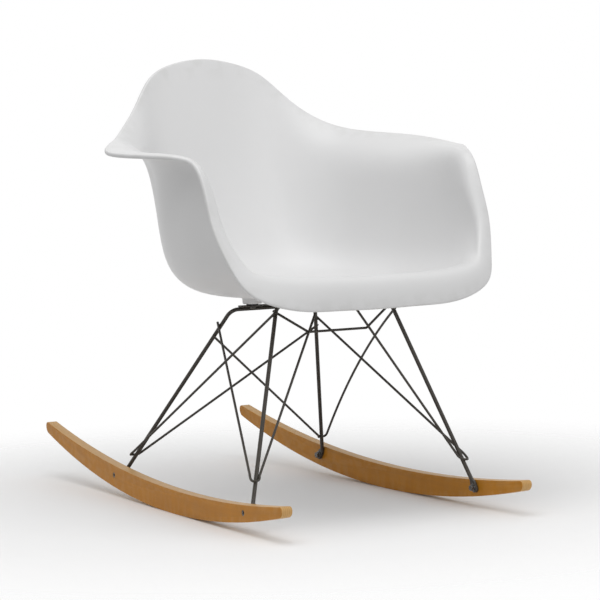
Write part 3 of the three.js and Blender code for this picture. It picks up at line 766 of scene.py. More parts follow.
class NodeTools:
    """The geometry node trees that build wires, copies and welds."""

    def __init__(self) -> None:
        """Build every tree once."""
        self.wire = self._wire_tree()
        self.copies = self._copies_tree()
        self.weld = self._weld_tree()

    @staticmethod
    def _start(
        name: str, inputs: dict[str, tuple[str, object]]
    ) -> tuple[Graph, bpy.types.Node, bpy.types.Node]:
        """Start a tree with a geometry input and output and the named inputs.

        Args:
            name: the tree's name.
            inputs: input name to socket type and default value.

        Returns:
            The graph, the input node and the output node.
        """
        tree = bpy.data.node_groups.new(name, "GeometryNodeTree")
        tree.interface.new_socket("Geometry", in_out="INPUT", socket_type="NodeSocketGeometry")
        for key, (kind, value) in inputs.items():
            item = tree.interface.new_socket(key, in_out="INPUT", socket_type=kind)
            if value is not None:
                item.default_value = value
        tree.interface.new_socket("Geometry", in_out="OUTPUT", socket_type="NodeSocketGeometry")
        return Graph(tree), tree.nodes.new("NodeGroupInput"), tree.nodes.new("NodeGroupOutput")

    @staticmethod
    def _end(graph: Graph, sink: bpy.types.Node, shape: object, material: object) -> bpy.types.NodeTree:
        """Close a tree with smooth shading, Realize Instances and Set Material."""
        whole = graph.add("GeometryNodeRealizeInstances", Geometry=shape).outputs[0]
        smoothed = graph.add("GeometryNodeSetShadeSmooth", Geometry=whole).outputs[0]
        dressed = graph.add("GeometryNodeSetMaterial", Geometry=smoothed, Material=material).outputs[0]
        graph.feed(sink.inputs[0], dressed)
        return graph.tree

    @staticmethod
    def _named(graph: Graph, name: str, kind: str) -> bpy.types.NodeSocket:
        """Read a named attribute of the given data type."""
        node = graph.add("GeometryNodeInputNamedAttribute", {"data_type": kind})
        node.inputs["Name"].default_value = name
        return node.outputs["Attribute"]

    def _wire_tree(self) -> bpy.types.NodeTree:
        """Round wire along a line of points; the girth attribute thins its tips."""
        graph, source, sink = self._start(
            "wire_along_path",
            {
                "Radius": ("NodeSocketFloat", WIRE_R),
                "Sides": ("NodeSocketInt", 20),
                "Material": ("NodeSocketMaterial", None),
            },
        )
        girth = self._named(graph, "girth", "FLOAT")
        line = graph.add("GeometryNodeMeshToCurve", Mesh=source.outputs["Geometry"]).outputs[0]
        sized = graph.add("GeometryNodeSetCurveRadius", Curve=line, Radius=girth).outputs[0]
        ring = graph.add("GeometryNodeCurvePrimitiveCircle", {"mode": "RADIUS"})
        graph.feed(Graph.socket(ring, "Resolution"), source.outputs["Sides"])
        graph.feed(Graph.socket(ring, "Radius"), source.outputs["Radius"])
        outline = ring.outputs[0]
        tube = graph.add("GeometryNodeCurveToMesh", Curve=sized, Profile_Curve=outline, Fill_Caps=True)
        if "Scale" in tube.inputs:
            graph.feed(tube.inputs["Scale"], girth)
        return self._end(graph, sink, tube.outputs[0], source.outputs["Material"])

    def _copies_tree(self) -> bpy.types.NodeTree:
        """One copy of a piece at each point, turned by the point's turn attribute."""
        graph, source, sink = self._start(
            "copies_at_points",
            {"Piece": ("NodeSocketObject", None), "Material": ("NodeSocketMaterial", None)},
        )
        info = graph.add("GeometryNodeObjectInfo", Object=source.outputs["Piece"])
        euler = graph.add("FunctionNodeEulerToRotation", Euler=self._named(graph, "turn", "FLOAT_VECTOR"))
        placed = graph.add(
            "GeometryNodeInstanceOnPoints",
            Points=source.outputs["Geometry"],
            Instance=info.outputs["Geometry"],
            Rotation=euler.outputs[0],
        )
        whole = graph.add("GeometryNodeRealizeInstances", Geometry=placed.outputs[0]).outputs[0]
        dressed = graph.add("GeometryNodeSetMaterial", Geometry=whole, Material=source.outputs["Material"])
        graph.feed(sink.inputs[0], dressed.outputs[0])
        return graph.tree

    def _weld_tree(self) -> bpy.types.NodeTree:
        """A small uneven bead at each point, lying along the point's lie attribute."""
        graph, source, sink = self._start(
            "weld_beads",
            {
                "Radius": ("NodeSocketFloat", 1.7 * MM),
                "Length": ("NodeSocketFloat", 2.0),
                "Unevenness": ("NodeSocketFloat", 0.25 * MM),
                "Seed": ("NodeSocketFloat", 4.0),
                "Material": ("NodeSocketMaterial", None),
            },
        )
        size_in = source.outputs["Radius"]
        ball = graph.add("GeometryNodeMeshIcoSphere", Radius=size_in, Subdivisions=3).outputs[0]
        lie = self._named(graph, "lie", "FLOAT_VECTOR")
        turn = graph.add("FunctionNodeAlignRotationToVector", {"axis": "Z"}, Vector=lie)
        size = graph.add("ShaderNodeCombineXYZ", X=1.0, Y=1.0, Z=source.outputs["Length"])
        placed = graph.add(
            "GeometryNodeInstanceOnPoints",
            Points=source.outputs["Geometry"],
            Instance=ball,
            Rotation=turn.outputs[0],
            Scale=size.outputs[0],
        )
        whole = graph.add("GeometryNodeRealizeInstances", Geometry=placed.outputs[0]).outputs[0]
        place = graph.add("GeometryNodeInputPosition").outputs[0]
        ripple = graph.add("ShaderNodeTexNoise", {"noise_dimensions": "4D"}, Vector=place, Scale=900.0)
        graph.feed(ripple.inputs["W"], source.outputs["Seed"])
        swing = graph.math("SUBTRACT", ripple.outputs[0], 0.5)
        lift = graph.math("MULTIPLY", swing, source.outputs["Unevenness"])
        normal = graph.add("GeometryNodeInputNormal").outputs[0]
        push = graph.add("ShaderNodeVectorMath", {"operation": "SCALE"}, in_0=normal, in_3=lift).outputs[0]
        bumpy = graph.add("GeometryNodeSetPosition", Geometry=whole, Offset=push).outputs[0]
        return self._end(graph, sink, bumpy, source.outputs["Material"])

    @staticmethod
    def run(thing: bpy.types.Object, tree: bpy.types.NodeTree, values: dict[str, object]) -> bpy.types.Object:
        """Run a tree on an object and keep its result as plain mesh.

        Args:
            thing: the object whose points the tree reads.
            tree: the node tree.
            values: input name to value.

        Returns:
            The same object with its new mesh.
        """
        modifier = thing.modifiers.new("build", "NODES")
        modifier.node_group = tree
        for item in tree.interface.items_tree:
            if item.item_type == "SOCKET" and item.in_out == "INPUT" and item.name in values:
                modifier[item.identifier] = values[item.name]
        return bake(thing)

    def wire_piece(
        self, name: str, line: Sequence[Vector], radius: float, material: bpy.types.Material
    ) -> bpy.types.Object:
        """Build a wire with softly rounded tips along a line.

        Args:
            name: the piece's name.
            line: the wire's axis.
            radius: the wire's radius.
            material: its finish.

        Returns:
            The wire.
        """
        tip = radius * 0.3
        line = list(line)
        head = line[0].lerp(line[1], tip / (line[1] - line[0]).length)
        tail = line[-1].lerp(line[-2], tip / (line[-1] - line[-2]).length)
        points = [line[0], head, *line[1:-1], tail, line[-1]]
        mesh = bpy.data.meshes.new(name)
        mesh.from_pydata([tuple(p) for p in points], [(i, i + 1) for i in range(len(points) - 1)], [])
        thing = bpy.data.objects.new(name, mesh)
        bpy.context.scene.collection.objects.link(thing)
        girth = np.ones(len(points))
        girth[[0, -1]] = 0.72
        set_attribute(thing, "girth", girth)
        self.run(thing, self.wire, {"Radius": radius, "Sides": 20, "Material": material})
        return outward(thing)

    def copies_piece(
        self,
        name: str,
        piece: bpy.types.Object,
        places: Sequence[tuple[Vector, Euler]],
        material: bpy.types.Material,
    ) -> bpy.types.Object:
        """Build one object from copies of a piece and discard the piece.

        Args:
            name: the new object's name.
            piece: the piece that is copied, made about the origin.
            places: where each copy goes and how it is turned.
            material: its finish.

        Returns:
            The new object.
        """
        thing = mesh_object(name, [p for p, _ in places], [])
        set_attribute(thing, "turn", np.array([tuple(e) for _, e in places]))
        self.run(thing, self.copies, {"Piece": piece, "Material": material})
        discard(piece)
        return thing


# ---------- rockers ----------


@dataclass
class Rocker:
    """One bent board with a running arc below, a flatter arc on top and round noses."""

    side: Side
    run_radius: float = 1.773
    rest_y: float = -0.0745
    top_radius: float = 2.787
    top_y: float = -0.127
    top_z: float = 0.0382
    half_length: float = 0.458
    nose: float = 9.0 * MM
    thick: float = 18.5 * MM
    face_x: float = 0.2137
    toe: float = 0.0185
    edge: float = 1.3 * MM
    steps: int = 180

    @property
    def place(self) -> Matrix:
        """From the board's own frame, whose outer face is x = 0, to the chair's."""
        sign = self.side.value
        return Matrix.Translation((sign * self.face_x, 0, 0)) @ Matrix.Rotation(sign * self.toe, 4, "Z")

    def low(self, y: float) -> float:
        """Height of the running arc."""
        return self.run_radius - math.sqrt(self.run_radius**2 - (y - self.rest_y) ** 2)

    def high(self, y: float) -> float:
        """Height of the top arc."""
        return self.top_z + self.top_radius - math.sqrt(self.top_radius**2 - (y - self.top_y) ** 2)

    def nose_points(self, start: float, tip: float) -> list[tuple[float, float]]:
        """Points of a round end, from the running side to the top side."""
        low, high = self.low(start), self.high(start)
        slope = (low - self.low(start - (tip - start))) / (tip - start)
        points = []
        for i in range(1, 16):
            angle = (i / 16 - 0.5) * math.pi
            out = (tip - start) * math.cos(angle)
            points.append((start + out, (low + high) / 2 + (high - low) / 2 * math.sin(angle) + slope * out))
        return points

    def outline(self) -> list[tuple[float, float]]:
        """Side outline of the board as y and z."""
        front, rear = self.nose - self.half_length, self.half_length - self.nose
        ys = [front + (rear - front) * i / self.steps for i in range(self.steps + 1)]
        low = [(y, self.low(y)) for y in ys]
        high = [(y, self.high(y)) for y in reversed(ys)]
        front_nose = list(reversed(self.nose_points(front, -self.half_length)))
        return low + self.nose_points(rear, self.half_length) + high + front_nose

    def build(self, finishes: Finishes, feet: Sequence["Foot"]) -> bpy.types.Object:
        """Make the board with its bolt holes and nut wells.

        Args:
            finishes: every material.
            feet: the feet that are bolted to it.

        Returns:
            The board.
        """
        word = self.side.name.lower()
        outline = self.outline()
        inner = -self.side.value * self.thick
        near = [(0.0, y, z) for y, z in outline]
        far = [(inner, y, z) for y, z in outline]
        count = len(outline)
        faces = [tuple(range(count)), tuple(range(count, 2 * count))]
        faces += [(i, (i + 1) % count, count + (i + 1) % count, count + i) for i in range(count)]
        board = outward(mesh_object(f"rocker_board_{word}", near + far, faces))
        self.round_edges(board)
        cutters = [cutter for foot in feet for cutter in foot.cutters(self)]
        board.data.transform(self.place)
        outward(board)
        carve(board, cutters)
        shade(board, 40.0)
        self.mark(board)
        return finish_piece(board, Slot.WOOD, finishes, [f"rocker_{word}"])

    def round_edges(self, board: bpy.types.Object) -> None:
        """Round the long edges of the board."""
        work = bmesh.new()
        work.from_mesh(board.data)
        rims = [e for e in work.edges if any(len(f.verts) > 4 for f in e.link_faces)]
        bmesh.ops.bevel(work, geom=rims, offset=self.edge, segments=3, profile=0.5, affect="EDGES")
        work.to_mesh(board.data)
        work.free()

    def mark(self, board: bpy.types.Object) -> None:
        """Store the way of the grain and how much each point is rubbed."""
        own = self.place.inverted()
        points = points_of(board)
        local = points @ np.array(own.to_3x3()).T + np.array(own.translation)
        y = local[:, 1]
        low = np.array([self.low(v) for v in y])
        high = np.array([self.high(v) for v in y])
        shift = 2.0 if self.side is Side.LEFT else 0.0
        along = np.column_stack([y + shift, local[:, 2] - (low + high) / 2, np.abs(local[:, 0])])
        set_attribute(board, "along", along)
        depth = np.minimum(np.abs(local[:, 0]), self.thick - np.abs(local[:, 0]))
        height = np.minimum(local[:, 2] - low, high - local[:, 2])
        corner = np.clip(1.0 - np.maximum(depth, height) / (2.0 * MM), 0.0, 1.0)
        ends = np.clip((np.abs(y) - self.half_length + 0.02) / 0.02, 0.0, 1.0) * 0.5
        set_attribute(board, "edge", np.maximum(corner, ends))


# ---------- feet, frames and what fastens them ----------


@dataclass
class Foot:
    """Where a leg's flattened end is bolted to a rocker."""

    end: End
    side: Side
    ankle: tuple[float, float]
    bolt: tuple[float, float]
    hole_r: float = 3.4 * MM
    well_r: float = 4.9 * MM
    well: float = 9.9 * MM

    @property
    def word(self) -> str:
        """The end and side in a node's name."""
        return f"{self.end.value}_{self.side.name.lower()}"

    def cutters(self, rocker: Rocker) -> list[bpy.types.Object]:
        """The bolt hole and the nut's well in the board."""
        sign = self.side.value
        y, z = self.bolt
        hole = cylinder_x(self.hole_r, -sign * (rocker.thick + MM), sign * MM, y, z, rocker.place)
        well = cylinder_x(self.well_r, -sign * self.well, sign * MM, y, z, rocker.place)
        return [hole, well]

    def place(self, rocker: Rocker, depth: float) -> tuple[Vector, Euler]:
        """Place and turn of a piece on the bolt's axis, with its Z pointing in under the seat.

        Args:
            rocker: the board that the foot is on.
            depth: distance in from the board's outer face.

        Returns:
            The place and the turn.
        """
        sign = self.side.value
        at = rocker.place @ Vector((-sign * depth, *self.bolt))
        return at, Euler((0.0, -sign * math.pi / 2, sign * rocker.toe))


@dataclass
class FootHardware:
    """The four bolts, washers and sleeve nuts that hold the feet to the rockers."""

    feet: list[Foot]
    rockers: dict[Side, Rocker]
    tab: float = 5.0 * MM
    washer: float = 1.2 * MM
    head: float = 4.2 * MM
    head_r: float = 5.2 * MM
    nut_r: float = 4.6 * MM
    nut_long: float = 9.0 * MM
    nut_sunk: float = 0.6 * MM

    def bolt(self) -> bpy.types.Object:
        """Hexagon head with a chamfered crown and a domed shank end; z = 0 is under the head."""
        r, h, shank = self.head_r, self.head, 3.0 * MM
        reach = self.washer + self.tab + self.rockers[Side.LEFT].thick + 3 * GAP - 4.7 * MM
        profile = [
            (shank * 0.55, -reach),
            (shank, -reach + 0.7 * MM),
            (shank, -0.4 * MM),
            (shank + 0.4 * MM, 0.0),
            (r * 0.93, 0.0),
            (r * 0.97, 0.15 * MM),
            (r, 0.45 * MM),
            (r, h - 0.75 * MM),
            (r * 0.95, h - 0.35 * MM),
            (r * 0.84, h),
            (r * 0.62, h),
            (r * 0.56, h - 0.3 * MM),
        ]
        flats = [False] * 5 + [True] * 3 + [False] * 4
        flats[8] = True
        return shade(lathe("bolt", profile, 48, flats), 30.0)

    def flat_washer(self) -> bpy.types.Object:
        """Flat washer with rolled edges."""
        inner, outer, t, c = BOLT_HOLE_R, 6.4 * MM, self.washer, 0.25 * MM
        profile = [
            (inner, c), (inner + c, 0.0), (outer - c, 0.0), (outer, c),
            (outer, t - c), (outer - c, t), (inner + c, t), (inner, t - c), (inner, c),
        ]
        return shade(lathe("washer", profile, 48), 50.0)

    def sleeve_nut(self) -> bpy.types.Object:
        """Sleeve nut with a hexagon socket; z = 0 is its outer face and it runs up +Z."""
        r, long, c, socket = self.nut_r, self.nut_long, 0.35 * MM, 2.4 * MM
        profile = [
            (3.3 * MM, long), (r - c, long), (r, long - c), (r, c), (r - c, 0.0),
            (socket + 0.5 * MM, 0.0), (socket + 0.1 * MM, 0.3 * MM), (socket, 0.6 * MM),
            (socket, 3.0 * MM), (3.3 * MM, 3.0 * MM), (3.3 * MM, long),
        ]
        flats = [False] * 7 + [True] * 2 + [False] * 2
        return shade(lathe("nut", profile, 48, flats), 30.0)

    def build(self, tools: NodeTools, finishes: Finishes) -> None:
        """Copy each fastener to the four feet.

        Args:
            tools: the geometry node trees.
            finishes: every material.
        """
        material = finishes[Slot.FASTENER]
        thick = self.rockers[Side.LEFT].thick
        under_head = thick + GAP + self.tab + GAP + self.washer + GAP
        kinds = (
            ("foot_bolts", "foot_bolt", self.bolt(), under_head),
            ("foot_washers", "foot_washer", self.flat_washer(), thick + 2 * GAP + self.tab),
            ("foot_nuts", "foot_nut", self.sleeve_nut(), self.nut_sunk),
        )
        for name, node, piece, depth in kinds:
            places = [foot.place(self.rockers[foot.side], depth) for foot in self.feet]
            copies = tools.copies_piece(name, piece, places, material)
            self.mark_corners(copies)
            finish_piece(copies, Slot.FASTENER, finishes, [f"{node}_{foot.word}" for foot in self.feet])

    @staticmethod
    def mark_corners(thing: bpy.types.Object) -> None:
        """Store where a small turned piece is rubbed bright: wherever its faces meet at a corner."""
        work = bmesh.new()
        work.from_mesh(thing.data)
        work.normal_update()
        sharp = np.zeros(len(work.verts))
        for vertex in work.verts:
            angles = [e.calc_face_angle(0.0) for e in vertex.link_edges]
            sharp[vertex.index] = min(1.0, max(angles, default=0.0) / 0.6)
        work.free()
        set_attribute(thing, "edge", sharp)


@dataclass
class BentFrame:
    """An inverted U of thick rod whose ends are pressed flat and bolted to the rockers."""

    end: End
    bar_y: float
    bar_z: float
    bar_x: float
    ankle: tuple[float, float]
    bolt: tuple[float, float]
    rockers: dict[Side, Rocker]
    bar_bend: float = 18.0 * MM
    foot_bend: float = 8.0 * MM
    tab: float = 5.0 * MM
    tab_wide: float = 13.0 * MM
    past: float = 8.5 * MM
    flat_from: float = 14.0 * MM
    flat_to: float = 25.0 * MM
    sides: int = 32

    def foot(self, side: Side) -> Foot:
        """The foot on one side."""
        return Foot(self.end, side, self.ankle, self.bolt)

    def in_plane(self, side: Side, y: float, z: float) -> Vector:
        """A point in the middle plane of a foot's flattened end."""
        depth = self.rockers[side].thick + GAP + self.tab / 2
        return self.rockers[side].place @ Vector((-side.value * depth, y, z))

    def corner(self, side: Side) -> Vector:
        """Where the bar meets a leg, before bending."""
        return Vector((side.value * self.bar_x, self.bar_y, self.bar_z))

    def leg_point(self, side: Side, z: float) -> Vector:
        """The point of a leg's axis at a height."""
        top, low = self.corner(side), self.in_plane(side, *self.ankle)
        return top.lerp(low, (top.z - z) / (top.z - low.z))

    def leg_up(self, side: Side) -> Vector:
        """Unit direction up a leg."""
        return (self.corner(side) - self.in_plane(side, *self.ankle)).normalized()

    def half_line(self) -> list[Vector]:
        """The rod's axis from the left foot's tip to the middle of the bar."""
        ankle = self.in_plane(Side.LEFT, *self.ankle)
        bolt = self.in_plane(Side.LEFT, *self.bolt)
        tip = bolt + (bolt - ankle).normalized() * self.past
        corners = [tip, ankle, self.corner(Side.LEFT), Vector((0, self.bar_y, self.bar_z))]
        return resample(bend(corners, [self.foot_bend, self.bar_bend]), 1.5 * MM)

    def section(self, travelled: float) -> tuple[float, float, float]:
        """Half width, half thickness and squareness of the rod at a distance from its tip."""
        flat = smooth((self.flat_to - travelled) / (self.flat_to - self.flat_from))
        half = self.tab_wide / 2
        width = ROD_R + (half - ROD_R) * flat
        if travelled < half:
            width = math.sqrt(max(half**2 - (half - travelled) ** 2, 0.0)) + 0.05 * MM
        thickness = ROD_R + (self.tab / 2 - ROD_R) * flat
        if travelled < 0.6 * MM:
            thickness -= (0.6 * MM - travelled) * 0.9
        return width, thickness, 2.0 + 4.0 * flat

    def build(self, finishes: Finishes) -> bpy.types.Object:
        """Sweep half of the frame, mirror it and drill the feet.

        Args:
            finishes: every material.

        Returns:
            The frame.
        """
        line = self.half_line()
        normal = self.rockers[Side.LEFT].place.to_3x3() @ Vector((1, 0, 0))
        rings, travelled, edge = [], 0.0, []
        for i, point in enumerate(line):
            if i:
                travelled += (point - line[i - 1]).length
            tangent = (line[min(i + 1, len(line) - 1)] - line[max(i - 1, 0)]).normalized()
            normal = square(normal, tangent)
            across = tangent.cross(normal)
            width, thickness, power = self.section(travelled)
            for k in range(self.sides):
                angle = 2 * math.pi * (k + 0.5) / self.sides
                c, s = math.cos(angle), math.sin(angle)
                a = math.copysign(abs(c) ** (2 / power), c) * width
                b = math.copysign(abs(s) ** (2 / power), s) * thickness
                rings.append(point + across * a + normal * b)
            edge += [smooth((0.04 - travelled) / 0.04)] * self.sides
        for k in range(self.sides):
            rings[-1 - k].x = 0.0
        frame_rod = self.mirrored_tube(rings, len(line))
        cutters = []
        for side in Side:
            y, z = self.bolt
            depth = self.rockers[side].thick
            sign = -side.value
            near, far = sign * (depth - MM), sign * (depth + 8 * MM)
            cutters.append(cylinder_x(BOLT_HOLE_R, near, far, y, z, self.rockers[side].place))
        carve(frame_rod, cutters)
        shade(frame_rod, 50.0, weighted=False)
        height = points_of(frame_rod)[:, 2]
        set_attribute(frame_rod, "edge", np.clip(1.0 - height / 0.075, 0.0, 1.0))
        return finish_piece(frame_rod, Slot.ROD, finishes, [f"{self.end.value}_frame"])

    def mirrored_tube(self, rings: list[Vector], count: int) -> bpy.types.Object:
        """Join the rings into a tube, close its tip and mirror it across the chair's middle."""
        n = self.sides
        faces = [tuple(range(n))]
        for i in range(count - 1):
            for k in range(n):
                j = (k + 1) % n
                faces.append((i * n + k, i * n + j, (i + 1) * n + j, (i + 1) * n + k))
        total = count * n
        other = [Vector((-p.x, p.y, p.z)) for p in rings]
        faces += [tuple(total + v for v in reversed(f)) for f in faces]
        return outward(mesh_object(f"{self.end.value}_frame_rod", rings + other, faces))


# ---------- braces ----------


@dataclass
class Braces:
    """Four V's of wire between the frames, and the spreader under the front bar."""

    rear: BentFrame
    front: BentFrame
    wrap_front: float = 75.0 * MM
    wrap_rear: float = 66.0 * MM
    rise: float = 11.0 * MM
    slack: float = 5.0 * MM
    skip: float = 0.25
    low: float = 0.3
    bow: float = 17.0 * MM
    side_high: float = 292.0 * MM
    side_front: float = 321.0 * MM
    cross_high: float = 275.0 * MM
    bar_x: float = 28.0 * MM
    past: float = 7.0 * MM
    spread_half: float = 53.0 * MM
    spread_y: float = -248.3 * MM
    spread_z: float = 293.5 * MM
    spread_top: float = 329.0 * MM
    touch: float = ROD_R + WIRE_R - 0.1 * MM
    welds: list[tuple[Vector, Vector]] = field(default_factory=list)

    def beside(self, point: Vector, along: Vector, start: Vector, towards: Vector) -> Vector:
        """Where a wire from a start passes a rod, on the side that a direction faces."""
        wire = (point - start).normalized()
        off = wire.cross(along).normalized()
        if off.dot(towards) < 0:
            off.negate()
        self.welds.append((point + off * ROD_R, wire))
        return point + off * self.touch

    def wrap(self, centre: Vector, up: Vector, end_a: Vector, end_b: Vector, steps: int = 24) -> list[Vector]:
        """Points of a loop that closes in round a leg and ends on the side facing the second end."""
        a = square(end_a - centre, up)
        b = square(end_b - centre, up)
        c = up.cross(a)
        turn = math.atan2(b.dot(c), b.dot(a))
        turn += -2 * math.pi if turn > 0 else 2 * math.pi
        points = []
        for i in range(steps + 1):
            t = i / steps
            angle = turn * (self.skip + (1 - self.skip) * t)
            share = self.low if t < self.low else 1 - self.low
            lift = self.rise * ((t - self.low) / share) ** 2
            reach = self.touch + self.slack * (1 - t) ** 2
            points.append(centre + (a * math.cos(angle) + c * math.sin(angle)) * reach + up * lift)
        out = square(points[-3] - centre, up)
        self.welds.append((points[-3] - out * WIRE_R, up.cross(out).normalized()))
        return points

    def vee(self, centre: Vector, up: Vector, end_a: Vector, end_b: Vector, bow: float = 0.0) -> list[Vector]:
        """The axis of one V of wire, from one tip down round the leg and up to the other tip."""
        turn = self.wrap(centre, up, end_a, end_b)
        helper = 9.0 * MM

        def beyond(start: Vector, to: Vector) -> Vector:
            """The free tip past a joint."""
            return to + (to - start).normalized() * self.past

        def near(corner: Vector, far: Vector) -> Vector:
            """A point a little up the straight from where the wrap begins."""
            return corner.lerp(far, helper / (far - corner).length)

        arch, steps = [], 24
        first = near(turn[0], end_a)
        if bow:
            rise = square(Vector((0, 0, 1)), (turn[0] - end_a).normalized())
            for i in range(1, steps - 1):
                t = i / steps
                arch.append(end_a.lerp(turn[0], t) + rise * (4 * bow * t * (1 - t)))
            first = arch.pop()
        head = [beyond(turn[0], end_a), end_a, *arch, first]
        return soften([*head, *turn, near(turn[-1], end_b), end_b, beyond(turn[-1], end_b)], 2)

    def front_vee(self, side: Side) -> list[Vector]:
        """From the front foot back to the rear leg's top, and across to the front bar."""
        centre = self.front.leg_point(side, self.wrap_front)
        rear_leg = self.rear.leg_point(side, self.side_high)
        end_a = self.beside(rear_leg, self.rear.leg_up(side), centre, Vector((side.value, 0, 0)))
        bar = Vector((side.value * self.bar_x, self.front.bar_y, self.front.bar_z))
        end_b = self.beside(bar, Vector((1, 0, 0)), centre, Vector((0, -1, 0)))
        end_b -= (end_b - centre).normalized() * self.past
        return self.vee(centre, self.front.leg_up(side), end_a, end_b)

    def rear_vee(self, side: Side) -> list[Vector]:
        """From the rear foot forward to the front leg's top, and across to the other rear leg."""
        centre = self.rear.leg_point(side, self.wrap_rear)
        front_leg = self.front.leg_point(side, self.side_front)
        end_a = self.beside(front_leg, self.front.leg_up(side), centre, Vector((side.value, 0, 0)))
        other_side = Side(-side.value)
        other = self.rear.leg_point(other_side, self.cross_high)
        end_b = self.beside(other, self.rear.leg_up(other_side), centre, Vector((0, -side.value, 0)))
        bow = self.bow if side is Side.LEFT else 0.0
        return self.vee(centre, self.rear.leg_up(side), end_a, end_b, bow)

    def spreader(self) -> list[Vector]:
        """The shallow trapezoid of wire under the front bar."""

        def low(side: Side) -> Vector:
            """A lower corner."""
            return Vector((side.value * self.spread_half, self.spread_y, self.spread_z))

        def high(side: Side) -> Vector:
            """An upper tip, beside the leg."""
            leg = self.front.leg_point(side, self.spread_top)
            end = self.beside(leg, self.front.leg_up(side), low(side), Vector((0, 1, 0)))
            return end + (end - low(side)).normalized() * 3.0 * MM

        corners = [high(Side.RIGHT), low(Side.RIGHT), low(Side.LEFT), high(Side.LEFT)]
        return bend(corners, [6.0 * MM, 6.0 * MM])

    def build(self, tools: NodeTools, finishes: Finishes) -> None:
        """Build the wires and the welds that hold them.

        Args:
            tools: the geometry node trees.
            finishes: every material.
        """
        material = finishes[Slot.ROD]
        lines = {"spreader_wire": ("front_spreader", self.spreader())}
        for side in Side:
            word = side.name.lower()
            lines[f"front_brace_wire_{word}"] = (f"brace_front_{word}", self.front_vee(side))
            lines[f"rear_brace_wire_{word}"] = (f"brace_rear_{word}", self.rear_vee(side))
        for name, (node, line) in lines.items():
            wire = tools.wire_piece(name, line, WIRE_R, material)
            finish_piece(wire, Slot.ROD, finishes, [node])
        spots = mesh_object("weld_spots", [at for at, _ in self.welds], [])
        set_attribute(spots, "lie", np.array([tuple(lie) for _, lie in self.welds]))
        tools.run(spots, tools.weld, {"Material": material})
        spots.name = "weld_beads"
        finish_piece(spots, Slot.ROD, finishes)


# ---------- mounts between base and shell ----------


@dataclass
class ShellMount:
    """A strap on one bar with two pads, screws and inserts that carry the shell."""

    frame: BentFrame
    x: float
    screw_y: float
    strap_half: float
    strap_thick: float = 2.5 * MM
    strap_wide: float = 20.0 * MM
    lap: float = 4.0 * MM
    hole_r: float = SCREW_HOLE_R
    pad_thick: float = 2.0 * MM

    @property
    def strap_low(self) -> float:
        """Height of the strap's underside."""
        return self.frame.bar_z + ROD_R + GAP

    @property
    def pad_low(self) -> float:
        """Height of the pads' underside."""
        return self.strap_low + self.strap_thick + GAP

    @property
    def boss_low(self) -> float:
        """Height of the bosses' underside."""
        return self.pad_low + self.pad_thick + GAP

    def spots(self, z: float) -> list[Vector]:
        """The two screw axes at a height."""
        return [Vector((side.value * self.x, self.frame.bar_y + self.screw_y, z)) for side in Side]

    def nodes(self, stem: str) -> list[str]:
        """Both node names of a piece at this mount."""
        return [f"{stem}_{self.frame.end.value}_{side.name.lower()}" for side in Side]

    def build_strap(self, finishes: Finishes) -> bpy.types.Object:
        """The strap: a plate with rounded corners and two holes."""
        half_y = self.strap_wide / 2
        centre_y = self.frame.bar_y + math.copysign(half_y - self.lap, self.screw_y)
        corner = 5.0 * MM
        outline = []
        for sx, sy, start in ((1, -1, -90), (1, 1, 0), (-1, 1, 90), (-1, -1, 180)):
            for k in range(9):
                angle = math.radians(start + 90 * k / 8)
                x = sx * (self.strap_half - corner) + corner * math.cos(angle)
                y = centre_y + sy * (half_y - corner) + corner * math.sin(angle)
                outline.append((x, y))
        low, high = self.strap_low, self.strap_low + self.strap_thick
        count = len(outline)
        vertices = [(x, y, low) for x, y in outline] + [(x, y, high) for x, y in outline]
        faces = [tuple(reversed(range(count))), tuple(range(count, 2 * count))]
        faces += [(i, (i + 1) % count, count + (i + 1) % count, count + i) for i in range(count)]
        name = f"{self.frame.end.value}_strap_plate"
        plate = outward(mesh_object(name, vertices, faces))
        cutters = []
        for spot in self.spots(low + self.strap_thick / 2):
            cutter = lathe("cutter", [(self.hole_r, -4 * MM), (self.hole_r, 4 * MM)])
            cutter.data.transform(Matrix.Translation(spot))
            cutters.append(cutter)
        carve(plate, cutters)
        modifier = plate.modifiers.new("edges", "BEVEL")
        modifier.width = 0.5 * MM
        modifier.segments = 3
        modifier.limit_method = "ANGLE"
        modifier.angle_limit = math.radians(60)
        bake(plate)
        shade(plate, 40.0)
        FootHardware.mark_corners(plate)
        return finish_piece(plate, Slot.ROD, finishes, [f"mount_strap_{self.frame.end.value}"])


